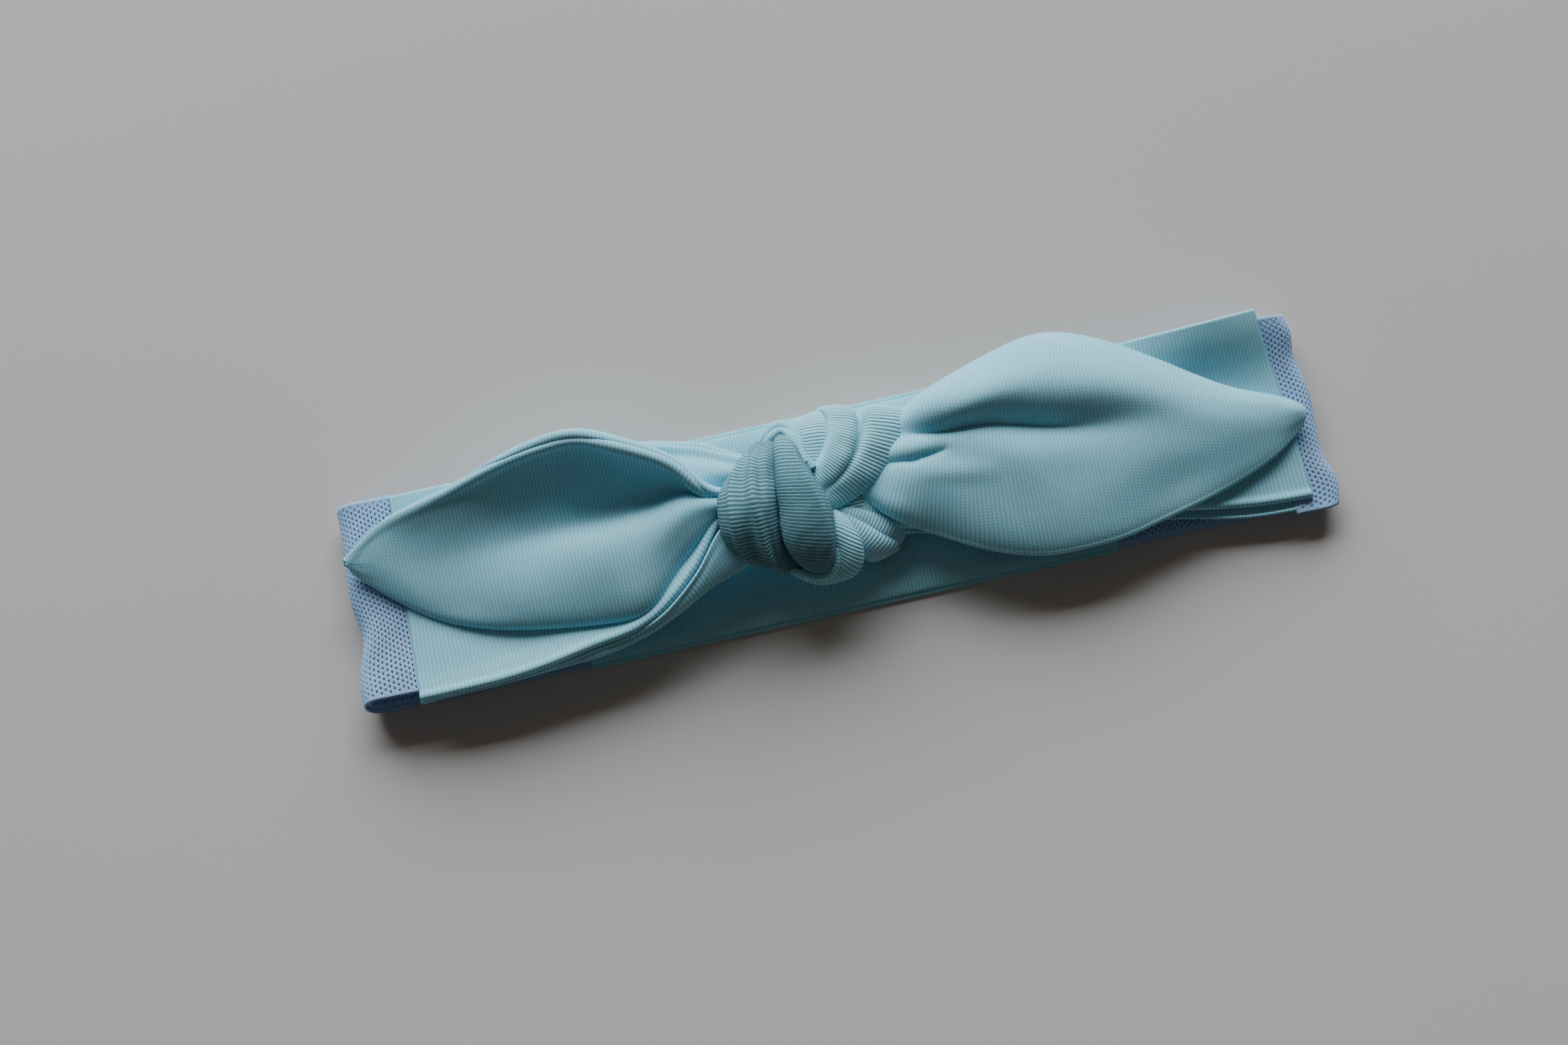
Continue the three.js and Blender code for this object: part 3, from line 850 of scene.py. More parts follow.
@dataclass
class MeshSide(Piece):
    """One eyelet-mesh side panel, folded over the end of the flattened loop."""

    levels: Levels
    side: Side
    bulges: Pairs
    tilt: Pairs
    hole_pitch: float = 0.96
    hole_rise: float = 1.4
    hole_share: tuple[float, float] = (0.33, 0.43)
    thickness: float = 0.5
    slew: float = 0.02
    outer_depth: float = 0.35
    inner_depth: float = 1.35
    inner_inset: float = 0.8

    def build(self) -> None:
        """Build the outer and the inner ply."""
        outer = self.levels.folded / 2
        self.ply("outer", outer - self.outer_depth, 0.0)
        self.ply("inner", outer - self.inner_depth, self.inner_inset)

    def profile(self, radius: float) -> np.ndarray:
        """Give the panel's line in the XZ plane, from the nape to the front strip.

        Args:
            radius: the radius of the fold.

        Returns:
            Closely spaced points, x away from the middle of the loop.
        """
        middle = self.levels.folded / 2
        bend = self.levels.half_length - middle
        start = self.levels.nape_half + 0.6
        join = self.levels.left_join if self.side is Side.LEFT else self.levels.right_join
        stop = abs(join) - 1.0
        low = [(x, middle - radius) for x in np.arange(start, bend, 1.0)]
        turn = np.linspace(-math.pi / 2, math.pi / 2, 15)
        arc = [(bend + radius * math.cos(t), middle + radius * math.sin(t)) for t in turn]
        high = [(x, middle + radius) for x in np.arange(bend - 1.0, stop, -1.0)] + [(stop, middle + radius)]
        return np.array(low + arc + high)

    def surface(self, along: np.ndarray, y: np.ndarray, radius: float) -> np.ndarray:
        """Place points of the flat panel on the folded one.

        Args:
            along: distances along the panel from the nape.
            y: positions across it.
            radius: the radius of the fold.

        Returns:
            The points in space.
        """
        line = self.profile(radius)
        run = np.concatenate([[0.0], np.cumsum(np.linalg.norm(np.diff(line, axis=0), axis=1))])
        x = np.interp(along, run, line[:, 0])
        z = np.interp(along, run, line[:, 1])
        places, reach = np.array(self.bulges).T
        order = np.argsort(places)
        out = smooth_curve(places[order], reach[order], np.clip(y, places.min(), places.max()))
        bend = self.levels.half_length - self.levels.folded / 2
        share = np.clip((x - bend + 6) / 8, 0, 1)
        sign = self.side.value
        slew = self.slew * sign * np.clip(1 - z / self.levels.folded, 0, 1) * x
        z = z + share * 0.35 * out * np.sin(math.pi * np.clip(z / self.levels.folded, 0, 1))
        at_y, lift = np.array(sorted(self.tilt)).T
        z = z + smooth_curve(at_y, lift, np.clip(y, at_y[0], at_y[-1])) * (z / self.levels.folded) ** 2
        dimple = 0.4 * ripple(x, y, wave=13, seed=3 + sign) * np.clip(z / self.levels.folded, 0, 1)
        return np.stack([sign * (x + share * out), y + slew, z + dimple * np.clip(share, 0.3, 1)], axis=-1)

    def ply(self, which: str, radius: float, inset: float) -> None:
        """Build one ply of the panel, with a hole in each cell of its knit.

        Args:
            which: outer or inner.
            radius: the radius of its fold.
            inset: how far its edges stop short of the other ply's.
        """
        line = self.profile(radius)
        length = float(np.linalg.norm(np.diff(line, axis=0), axis=1).sum())
        half = self.levels.half_width - inset
        columns = int(round(length / self.hole_pitch))
        rows = int(round(2 * half / (self.hole_rise / 2)))
        s = np.linspace(0, length, columns + 1)
        y = np.linspace(-half, half, rows + 1)
        grid_s, grid_y = np.meshgrid(s, y, indexing="ij")
        flat, faces = self.cells(grid_s, grid_y)
        down, wide = flat.T
        surface = self.surface(down, wide, radius)
        nudge = 0.05
        along = self.surface(down + nudge, wide, radius) - self.surface(down - nudge, wide, radius)
        over = self.surface(down, wide + nudge, radius) - self.surface(down, wide - nudge, radius)
        normal = unit(np.cross(along, over))
        half_thick = self.thickness / 2
        total = len(flat)
        points = np.concatenate([surface + normal * half_thick, surface - normal * half_thick])
        both = np.concatenate([faces, faces[:, ::-1] + total, self.walls(faces, total)])
        uv = np.concatenate([flat, flat])
        name = f"{self.side.word}_mesh_{which}"
        piece = self.maker.object(name, points, both, uv, MESH_KNIT)
        cloth = Cloth(self.surface(grid_s.ravel(), grid_y.ravel(), radius).reshape(grid_s.shape + (3,)))
        self.declare(piece, cloth, (f"{name}_ply",), "eyelet_mesh", Held.FOLDED, ())
        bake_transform(piece)

    def cells(self, s: np.ndarray, y: np.ndarray) -> tuple[np.ndarray, np.ndarray]:
        """Cut a staggered hole in each cell of a grid.

        Args:
            s: the grid's distances along the panel.
            y: the grid's positions across it. Each cell spans two steps of it.

        Returns:
            The flat points, and four indices for each face.
        """
        rows, columns = s.shape
        corner = np.arange(rows * columns).reshape(rows, columns)
        flat = np.stack([s.ravel(), y.ravel()], axis=1)
        points, faces = [flat], []
        count = len(flat)
        for i in range(rows - 1):
            j = 1 + i % 2
            for k in range(0, j):
                faces.append([corner[i, k], corner[i + 1, k], corner[i + 1, k + 1], corner[i, k + 1]])
            while j + 2 <= columns - 2:
                ring = [
                    corner[i, j], corner[i + 1, j], corner[i + 1, j + 1],
                    corner[i + 1, j + 2], corner[i, j + 2], corner[i, j + 1],
                ]
                outer = flat[ring]
                middle = outer.mean(axis=0)
                points.append(middle + (outer - middle) * np.array(self.hole_share))
                hole = [count + k for k in range(6)]
                count += 6
                for k in range(6):
                    n = (k + 1) % 6
                    faces.append([ring[k], ring[n], hole[n], hole[k]])
                j += 2
            for k in range(j, columns - 1):
                faces.append([corner[i, k], corner[i + 1, k], corner[i + 1, k + 1], corner[i, k + 1]])
        return np.concatenate(points), np.array(faces)

    @staticmethod
    def walls(faces: np.ndarray, total: int) -> np.ndarray:
        """Give the quads that join the two sides along every open edge.

        Args:
            faces: the faces of one side.
            total: the number of points on it.

        Returns:
            Four indices for each wall.
        """
        edges = np.concatenate([faces[:, [k, (k + 1) % 4]] for k in range(4)])
        keys = edges.min(1).astype(np.int64) * total + edges.max(1)
        _, first, counts = np.unique(keys, return_index=True, return_counts=True)
        a, b = edges[first[counts == 1]].T
        return np.stack([b, a, a + total, b + total], axis=1)


# How far the fold reaches out, and how far its upper leg stands off level, at places across the band.
LEFT_BULGES = ((25.5, 0.2), (11, 0.2), (0, 0.4), (-8, -0.9), (-17, 1.2), (-25.5, 1.4))
LEFT_TILT = ((-27, 1.1), (-20, 0.5), (-12, -0.3), (0, -0.5), (27, -0.6))
RIGHT_BULGES = (
    (25.5, -1.6), (20, -0.4), (15, -0.9), (8, 0.4), (0, 0.6),
    (-9, 0.2), (-12.5, 0.4), (-18, 2.2), (-25.5, 1.4),
)
RIGHT_TILT = (
    (-27, -3.8), (-20, -3.3), (-14, -2.7), (-8, -2.2), (0, -2), (8, -1.8), (15, -0.5), (22, 2), (27, 3.6),
)


# ---- front strips --------------------------------------------------------------------------------


def drawn(*table: tuple[float | Line, Line, Line]) -> tuple[Row, ...]:
    """Give the drawn rows of a sheet, each of which crosses the cloth.

    Args:
        table: for each row, the x of all its points or of each, then their y, then their rises.

    Returns:
        The rows, as points.
    """
    made = []
    for x, ys, rises in table:
        xs = x if isinstance(x, tuple) else (x,) * len(ys)
        made.append(tuple(zip(xs, ys, rises)))
    return tuple(made)


@dataclass
class Strip(Piece):
    """One side of the knotted front: a two-ply tube that runs from the mesh into the knot."""

    levels: Levels
    side: Side
    top_rows: tuple[Row, ...]
    under_rows: tuple[Row, ...]
    thickness: float = 0.85
    roll: float = 0.75
    gather_from: float = -54.0
    gather_length: float = 9.0
    gather_rise: float = 1.7
    gather_radius: float = 0.9

    def build(self) -> None:
        """Build the top and the under ply."""
        self.ply("outer", self.top_rows, 0.5, 21)
        self.ply("inner", self.under_rows, 0.3, 22)

    def ply(self, which: str, rows: tuple[Row, ...], swell: float, seed: int) -> None:
        """Build one ply.

        Args:
            which: outer or inner.
            rows: its drawn rows, with heights above the flat front's middle.
            swell: how far it waves up and down.
            seed: picks the waves.
        """
        cloth = Cloth.through(rows, step_along=0.55, step_across=0.8, level=self.levels.front)
        near, far = cloth.edge_distance()
        x, y = cloth.points[..., 0], cloth.points[..., 1]
        wave = ripple(x, y, wave=19, seed=seed) * swell * np.clip(np.minimum(near, far) / 6, 0, 1)
        gathered = (x - self.gather_from) / self.gather_length
        toward_knot = np.clip(gathered, 0, 1) if self.side is Side.LEFT else 0.0
        lift = wave * 0.5 + seam_roll(far, self.roll) * (0.8 if which == "outer" else 0.5)
        lift = lift + self.gather_rise * seam_roll(near, self.gather_radius) * toward_knot
        cloth = cloth.moved(lift)
        name = f"{self.side.word}_strip_{which}"
        piece = self.maker.build(name, cloth, self.thickness, JERSEY)
        self.declare(piece, cloth, (f"{name}_ply",), "jersey", Held.GATHERED, ())
        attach(piece, Body.FRONT.value)


LEFT_TOP = drawn(
    ((-111, -111.2, -111.5, -111.8, -112.2, -112.7, -113, -113.2, -113.3),
     (25.3, 20, 12, 4, -6, -15, -21, -25, -26.7), (0.5, 0.8, 0.8, 0.8, 0.8, 1, 1.6, 2.1, 1.9)),
    (-100, (25.5, 20, 12, 4, -6, -15, -21, -24.8, -26.4), (0.5, 0.9, 0.7, 0.6, 0.7, 1.5, 2.2, 2.8, 2.7)),
    (-88, (25.4, 20, 12, 4, -6, -15, -20, -24, -25.7), (0.5, 0.9, 0.7, 0.6, 0.6, 1.5, 2.3, 3.1, 3)),
    (-76, (25.3, 19, 12, 4, -5, -13, -18.5, -22.3, -23.9), (0.5, 0.8, 0.8, 0.6, 0.6, 1.4, 2.4, 3.4, 3.4)),
    (-66, (25.2, 19, 12, 4, -4, -12, -17.5, -20.7, -22), (0.6, 0.8, 0.8, 0.6, 0.6, 1.3, 2.5, 3.7, 3.7)),
    (-57, (25.5, 19, 12, 4, -3, -10.5, -16, -19.2, -20.4), (0.6, 0.9, 0.8, 0.6, 0.6, 1.2, 2.6, 4.2, 4.2)),
    ((-50, -50.5, -51, -51.5, -51.5, -51, -50.5, -50, -49.6),
     (25.9, 19, 12, 4, -2, -8, -12.8, -16, -17.3), (0.8, 1.2, 0.8, 0.6, 0.8, 1.6, 3.2, 4.6, 4.6)),
    ((-43.6, -45, -46, -46.5, -46.5, -46, -45, -44.2, -43.5),
     (25.2, 19, 12, 5, 0, -4, -8.4, -11.6, -12.9), (1, 2.4, 1.4, 0.8, 1.2, 2.2, 4, 5.6, 5.6)),
    ((-37.2, -38.6, -40.5, -41, -41, -40, -39, -38, -37.4),
     (22.9, 18.6, 13, 7, 2, -1, -3.6, -6, -7), (1.2, 4, 3, 1.6, 1.8, 2.6, 4.4, 6.2, 6.2)),
    ((-31, -32.6, -34.6, -36, -36, -35, -34, -33, -32.4),
     (20.8, 17.8, 13.6, 8.5, 5, 3, 1.5, 0, -0.6), (1.8, 4.8, 4.6, 2.6, 2.4, 3.2, 4.6, 6.2, 6.2)),
    ((-25, -26.4, -28.4, -30, -30, -29.6, -29.2, -28.6, -28.2),
     (17.9, 16.2, 13.8, 10, 7.5, 6, 5, 4, 3.4), (2.6, 5.2, 5.6, 3.4, 2.6, 3.4, 4.6, 5.8, 5.8)),
    ((-19, -20.5, -22, -23, -23, -23, -23, -22.5, -22),
     (15.6, 14.5, 12.5, 10.5, 9, 8, 7, 6, 5.4), (3, 4.4, 4.6, 3.2, 2.6, 3.2, 4, 4.8, 4.8)),
)
LEFT_UNDER = drawn(
    ((-111, -111.2, -111.5, -111.8, -112.2, -112.7, -113, -113.3, -113.3, -113.3),
     (25.4, 20, 12, 4, -6, -15, -22, -27.2, -27.8, -27.2),
     (-0.5, -0.8, -0.8, -0.8, -0.8, -0.8, -0.5, 0, 0.7, 1.4)),
    (-100, (25.6, 20, 12, 4, -6, -15, -22, -26.4, -27.1, -26.9),
     (-0.5, -0.8, -0.8, -0.8, -0.8, -0.7, -0.4, 0.2, 1.1, 2.1)),
    (-88, (25.5, 20, 12, 4, -6, -15, -21, -25.8, -26.6, -26.3),
     (-0.5, -0.8, -0.8, -0.8, -0.8, -0.7, -0.4, 0.3, 1.3, 2.4)),
    (-76, (25.4, 19, 12, 4, -5, -13, -20, -24.7, -25.6, -24.6),
     (-0.5, -0.8, -0.8, -0.8, -0.8, -0.7, -0.4, 0.4, 1.6, 2.8)),
    (-66, (25.3, 19, 12, 4, -4, -12, -19, -23.6, -24.7, -22.9),
     (-0.5, -0.8, -0.8, -0.8, -0.8, -0.7, -0.3, 0.5, 1.8, 3.2)),
    (-57, (25.3, 19, 12, 4, -3, -11, -17.6, -21.8, -22.9, -21.2),
     (-0.3, -0.6, -0.7, -0.8, -0.8, -0.8, -0.4, 0.4, 2, 3.7)),
    ((-50, -50.5, -51, -51.5, -51.5, -50.6, -49.8, -49, -48.8, -49.2),
     (26.1, 19, 12, 4, -2, -9, -14.6, -18.9, -20, -18.2),
     (-0.3, -0.1, -0.5, -0.7, -0.8, -0.8, -0.5, 0.6, 2.4, 4.9)),
    ((-43.6, -45, -46, -46.5, -46, -44.4, -42.8, -41.4, -41.4, -43),
     (25.9, 19, 12, 5, -1, -7, -12, -15.7, -16.4, -13.8),
     (-0.1, 1, 0, -0.6, -0.7, -0.6, -0.2, 1.2, 3.2, 6.2)),
    ((-37, -38.6, -40.5, -41, -40.4, -38.6, -36.4, -35, -34.8, -36.8),
     (24, 18.6, 13, 7, 2, -4, -9, -12.4, -13, -7.9), (0, 2.4, 1.4, 0, -0.3, -0.4, 0, 1.4, 3.4, 7.1)),
    ((-30.6, -32.6, -34.6, -36, -35.6, -33.6, -31, -29.2, -28.8, -31.8),
     (22.2, 17.8, 13.6, 8.5, 4, -1, -6, -10, -10.9, -1.5), (0.6, 3.2, 3, 0.8, 0.2, 0, 0.4, 1.4, 3, 7.3)),
    ((-24.4, -26.4, -28.4, -30, -29.6, -28, -26, -23.6, -23, -27),
     (19, 16.2, 13.8, 10, 7, 2.6, -2.4, -7, -8.4, 2.2), (1.4, 3.6, 4, 1.6, 0.6, 0.4, 0.4, 1, 2.2, 6.4)),
    ((-18.6, -20.5, -22, -23, -23, -22, -20.4, -18, -17.4, -20.6),
     (16.4, 14.5, 12.5, 10.5, 8.6, 5.4, 1.6, -2.6, -3.6, 3.6),
     (1.8, 2.8, 3, 1.6, 0.8, 0.6, 0.6, 1, 1.8, 5)),
)
RIGHT_TOP = drawn(
    (6, (15, 12.5, 10, 7, 4, 1, -2, -4, -5), (4, 3.6, 3.2, 3, 2.8, 2.6, 2.4, 2.4, 2.2)),
    (15, (18, 14, 10, 6, 2, -2, -5, -7, -8), (3, 2.6, 2.2, 1.8, 1.6, 1.4, 1.2, 1.2, 1)),
    (26, (21, 17, 12, 7, 2, -3, -6.5, -9, -10.2), (1.6, 1.6, 1.4, 1, 0.8, 0.6, 0.4, 0.2, 0)),
    (40, (23.4, 18, 13, 7, 1, -5, -9, -12, -13.4), (0.8, 1, 0.8, 0.6, 0.4, 0, -0.2, -0.4, -0.6)),
    (56, (25, 19, 13, 7, 0, -7, -11, -14.4, -15.8), (0.8, 1.2, 0.6, 0.2, 0, -0.4, -0.8, -1, -1.2)),
    (70, (25.8, 20, 14, 7, 0, -8, -12, -15.4, -16.8), (1.6, 1.8, 0.6, -0.2, -0.2, -0.8, -1.2, -1.4, -1.6)),
    (84, (26.4, 21, 14, 7, 0, -8, -13, -16.4, -17.8), (3.6, 2.8, 0.6, -0.6, -0.6, -0.8, -1.2, -1.4, -1.6)),
    (96, (27, 21.5, 15, 8, 0, -8, -14, -18, -19.6), (5.6, 4, 1, -0.8, -0.8, -0.8, -1.2, -1.4, -1.6)),
    ((106, 106.3, 106.6, 107, 107.4, 107.8, 108, 108.2, 108.4),
     (27.5, 22, 15, 8, 0, -8, -14, -19.2, -21), (6.2, 4.2, 1, -0.8, -0.8, -0.8, -1.2, -1.6, -1.8)),
    ((114.2, 114.8, 115.5, 116.3, 117.3, 118.2, 118.8, 119.2, 119.4),
     (28, 22, 15, 8, 0, -8, -14, -19.6, -21.4), (5.2, 3.6, 1, -0.4, -0.6, -0.7, -1.1, -1.6, -1.8)),
)
RIGHT_UNDER = drawn(
    (6, (15, 12, 9, 6, 3, 0, -3, -5.5, -6.2, -6), (2.4, 2, 1.6, 1.4, 1.2, 1, 0.8, 0.8, 1, 1.3)),
    (15, (18, 14, 10, 6, 2, -2, -5.4, -8.4, -9.2, -9), (1.4, 1, 0.6, 0.2, 0, -0.2, -0.4, -0.4, -0.2, 0.1)),
    (26, (21, 17, 12, 7, 2, -3, -7.4, -10.8, -11.8, -11.6),
     (0.2, 0, -0.2, -0.6, -0.8, -1, -1.4, -1.6, -1.4, -1)),
    (40, (23.4, 18, 13, 7, 1, -5, -10, -14, -15.1, -14.9),
     (-0.6, -0.6, -0.8, -1, -1.2, -1.6, -2, -2.2, -2, -1.6)),
    (56, (25.1, 19, 13, 7, 0, -7, -12, -16.2, -17.4, -17.2),
     (-0.6, -0.4, -1, -1.4, -1.6, -2, -2.6, -2.8, -2.6, -2.2)),
    (70, (25.9, 20, 14, 7, 0, -8, -13, -17.4, -18.7, -18.4),
     (0.2, 0.2, -1, -1.8, -1.8, -2.4, -3, -3.4, -3.2, -2.8)),
    (84, (26.5, 21, 14, 7, 0, -8, -14, -18.6, -20.1, -19.8),
     (2.4, 1.4, -1, -2.2, -2.2, -2.4, -2.8, -3.2, -3, -2.6)),
    (96, (27.1, 21.5, 15, 8, 0, -8, -15, -20.9, -22.5, -22.2),
     (4.4, 2.6, -0.6, -2.4, -2.4, -2.4, -2.8, -3.4, -3.2, -2.8)),
    (107, (27.6, 22, 15, 8, 0, -8, -15, -22.3, -23.9, -23.6),
     (5, 2.8, -0.6, -2.4, -2.4, -2.4, -2.8, -3.4, -3.2, -2.8)),
    ((114.2, 114.7, 115.1, 115.4, 115.7, 115.9, 116, 116, 116, 116),
     (28.1, 22, 15, 8, 0, -8, -15, -22.4, -24.2, -23.8),
     (4, 2.2, -0.6, -2, -2.2, -2.3, -2.6, -3.2, -3, -2.6)),
)


# ---- ears ----------------------------------------------------------------------------------------


@dataclass
class Ear(Piece):
    """One pointed tie end: two plies sewn round the edge and turned right side out."""

    levels: Levels
    side: Side
    body: Body
    rows: tuple[Row, ...]
    rim_roll: tuple[float, float]
    root: tuple[Triple, Triple]
    thickness: float = 0.9
    air: float = 0.06
    puff: float = 0.5
    tip_length: float = 14.0
    edge_inset: float = 0.25
    turn_over: float = 1.1
    turn_width: float = 1.4
    turn_height: float = 0.62
    seam_from: tuple[float, float] = (35.0, 60.0)
    seam_rolls_in: float = 1.7
    creases: tuple[tuple[float, float, float, float, float, float], ...] = ()

    def build(self) -> None:
        """Build the top and the under ply."""
        middle = Cloth.through(self.rows, step_along=0.5, step_across=0.8, level=self.levels.front)
        self.crease(middle)
        upper = self.upper(middle)
        under = self.under(middle)
        for which, cloth in (("outer", upper), ("inner", under)):
            name = f"{self.side.word}_ear_{which}"
            piece = self.maker.build(name, cloth, self.thickness, JERSEY)
            self.declare(piece, cloth, (f"{name}_ply",), "jersey", Held.GATHERED, ())
            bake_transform(piece)

    def from_tip(self, middle: Cloth) -> np.ndarray:
        """Give each row's distance from the ear's tip."""
        along = middle.along[:, 0]
        return along if self.side is Side.LEFT else along[-1] - along

    def puffed(self, middle: Cloth) -> np.ndarray:
        """Work out how far the plies stand from the middle surface.

        Args:
            middle: the ear's middle surface.

        Returns:
            The distance at each point.
        """
        near, far = middle.edge_distance()
        share = near / np.maximum(near + far, 1e-3)
        tip = np.clip(self.from_tip(middle) / self.tip_length, 0, 1)[:, None]
        return self.thickness / 2 + self.air + self.puff * np.sin(math.pi * share) * tip

    def seam_inset(self, middle: Cloth) -> np.ndarray:
        """Work out how far in on the ear's upper side the first edge's seam lies.

        Args:
            middle: the ear's middle surface.

        Returns:
            The distance at each row.
        """
        start, full = self.seam_from
        share = np.clip((self.from_tip(middle) - start) / (full - start), 0, 1)
        return self.edge_inset + (self.seam_rolls_in - self.edge_inset) * share * share * (3 - 2 * share)

    def upper(self, middle: Cloth) -> Cloth:
        """Make the upper ply, which stops short of the first edge, where the under ply rolls over.

        Args:
            middle: the ear's middle surface.

        Returns:
            The ply's own middle surface.
        """
        cloth = middle.moved(self.puffed(middle))
        inset = self.seam_inset(middle)
        cloth = cloth.trimmed(inset, np.full(len(inset), self.edge_inset))
        near, far = cloth.edge_distance()
        tip = np.clip(self.from_tip(middle) / self.seam_from[1], 0.2, 1)[:, None]
        roll = seam_roll(near, self.rim_roll[0]) + seam_roll(far, self.rim_roll[1])
        return cloth.moved(roll * tip)

    def under(self, middle: Cloth) -> Cloth:
        """Make the under ply, whose first edge rolls up to the seam.

        Args:
            middle: the ear's middle surface.

        Returns:
            The ply's own middle surface.
        """
        near, far = middle.edge_distance()
        inset = self.seam_inset(middle)[:, None]
        turned = np.clip((inset + self.turn_over - near) / self.turn_width, 0, 1)
        rolled = turned * np.clip((inset - self.edge_inset) / 0.8, 0, 1)
        rolled = rolled * rolled * (3 - 2 * rolled)
        tip = np.clip(self.from_tip(middle) / self.tip_length, 0.15, 1)[:, None]
        edge = np.clip(1 - near / np.maximum(inset, 0.6), 0, 1) ** 2 * 0.8 * rolled
        lift = -self.puffed(middle) * (1 - rolled) + (self.turn_height - edge) * rolled
        return middle.moved(lift - 0.5 * seam_roll(far, self.rim_roll[1]) * tip)

    def crease(self, middle: Cloth) -> None:
        """Press small creases and swells into the ear.

        Args:
            middle: the ear's middle surface, changed in place.
        """
        x, y = middle.points[..., 0], middle.points[..., 1]
        lift = 0.35 * ripple(x, y, wave=23, seed=5 + self.side.value)
        near, far = middle.edge_distance()
        lift = lift * np.clip(np.minimum(near, far) / 7, 0, 1)
        for x0, y0, x1, y1, width, height in self.creases:
            run = math.hypot(x1 - x0, y1 - y0)
            ax, ay = (x1 - x0) / run, (y1 - y0) / run
            down = (x - x0) * ax + (y - y0) * ay
            off = (y - y0) * ax - (x - x0) * ay
            fade = np.clip(down / run, 0, 1) * np.clip(1 - down / run, 0, 1) * 4
            lift = lift + height * fade * np.exp(-((off / width) ** 2))
        middle.points[..., 2] += lift


LEFT_EAR = drawn(
    (-125.4, (12.3, 12.1, 12, 11.9, 11.8, 11.7, 11.6, 11.5, 11.4, 11.3, 11.1), (3.4,) * 11),
    (-122, (14.6, 14.2, 13.6, 12.8, 11.8, 10.8, 9.8, 8.8, 8, 7.4, 7.2),
     (4.2, 4.2, 4, 3.8, 3.6, 3.4, 3.1, 2.8, 2.4, 2, 1.6)),
    (-116, (18.8, 18, 16.8, 15, 12.8, 10.2, 7.4, 5, 3, 1.8, 1.4),
     (6, 5.9, 5.6, 5.2, 4.7, 4.1, 3.5, 2.9, 2.3, 1.7, 1.3)),
    (-106, (22.3, 21.4, 19.6, 16.8, 13, 8.6, 3.8, -0.4, -3.8, -5.8, -6.2),
     (9.4, 9.2, 8.6, 7.4, 6, 4.8, 4, 3.4, 2.6, 1.7, 1.2)),
    (-94, (25.6, 24.8, 22.8, 19.4, 14.4, 9, 3.6, -1.6, -7, -10.8, -11.4),
     (12.6, 12.2, 11, 9.2, 6.8, 5, 4.6, 4.5, 3.9, 2.7, 1.9)),
    (-82, (29.9, 29, 26.6, 22.4, 16, 9, 4, -2, -8.4, -13.4, -14.1),
     (14.6, 14.2, 12.2, 9.2, 5.6, 3.8, 5.2, 5.9, 5.2, 3.4, 2.4)),
    (-70, (32.8, 31.8, 29.4, 24.4, 16.6, 9.2, 4.6, -1, -8.4, -15, -15.8),
     (15.2, 14.8, 12.6, 8.2, 4, 2.2, 6, 7.2, 6.2, 3.7, 2.6)),
    (-60, (32.6, 31.2, 29, 24.4, 17, 9.4, 5, -0.6, -8, -15.8, -16.6),
     (15.6, 15.2, 12.4, 7.2, 2.6, 1.2, 6.8, 8.2, 7, 4.3, 3)),
    (-52, (29.4, 27, 25, 21.6, 16.4, 10, 5.8, 0.8, -6, -14.6, -15.6),
     (15, 14.8, 12, 7, 2.6, 1.4, 7.2, 8.7, 7.8, 5, 3.6)),
    (-44, (25.2, 22.8, 20.6, 18, 14.6, 10.6, 7.4, 4, -1, -7.4, -8.6),
     (13.4, 13.2, 10.8, 6.6, 3.2, 2.2, 7.2, 9, 8, 5, 3.4)),
    (-37, (19.6, 17.4, 15.8, 14.2, 12.6, 10.9, 9.2, 7.2, 3.6, -1, -2),
     (11.2, 11.2, 9.4, 6.8, 5, 4.6, 7.4, 9, 8.2, 5.8, 4.2)),
    (-31, (12.4, 11.2, 10.7, 10.1, 9.5, 8.9, 8.1, 7.2, 5.6, 3.4, 2.6),
     (9, 9, 8, 6.6, 5.8, 5.8, 7.2, 8, 7.2, 5.6, 4.6)),
    (-24, (9.8, 9.2, 8.8, 8.4, 8, 7.6, 7.2, 6.6, 6, 5.2, 4.8),
     (6.4, 6.4, 6, 5.4, 4.8, 5, 6, 6.2, 5.6, 4.8, 4.4)),
)
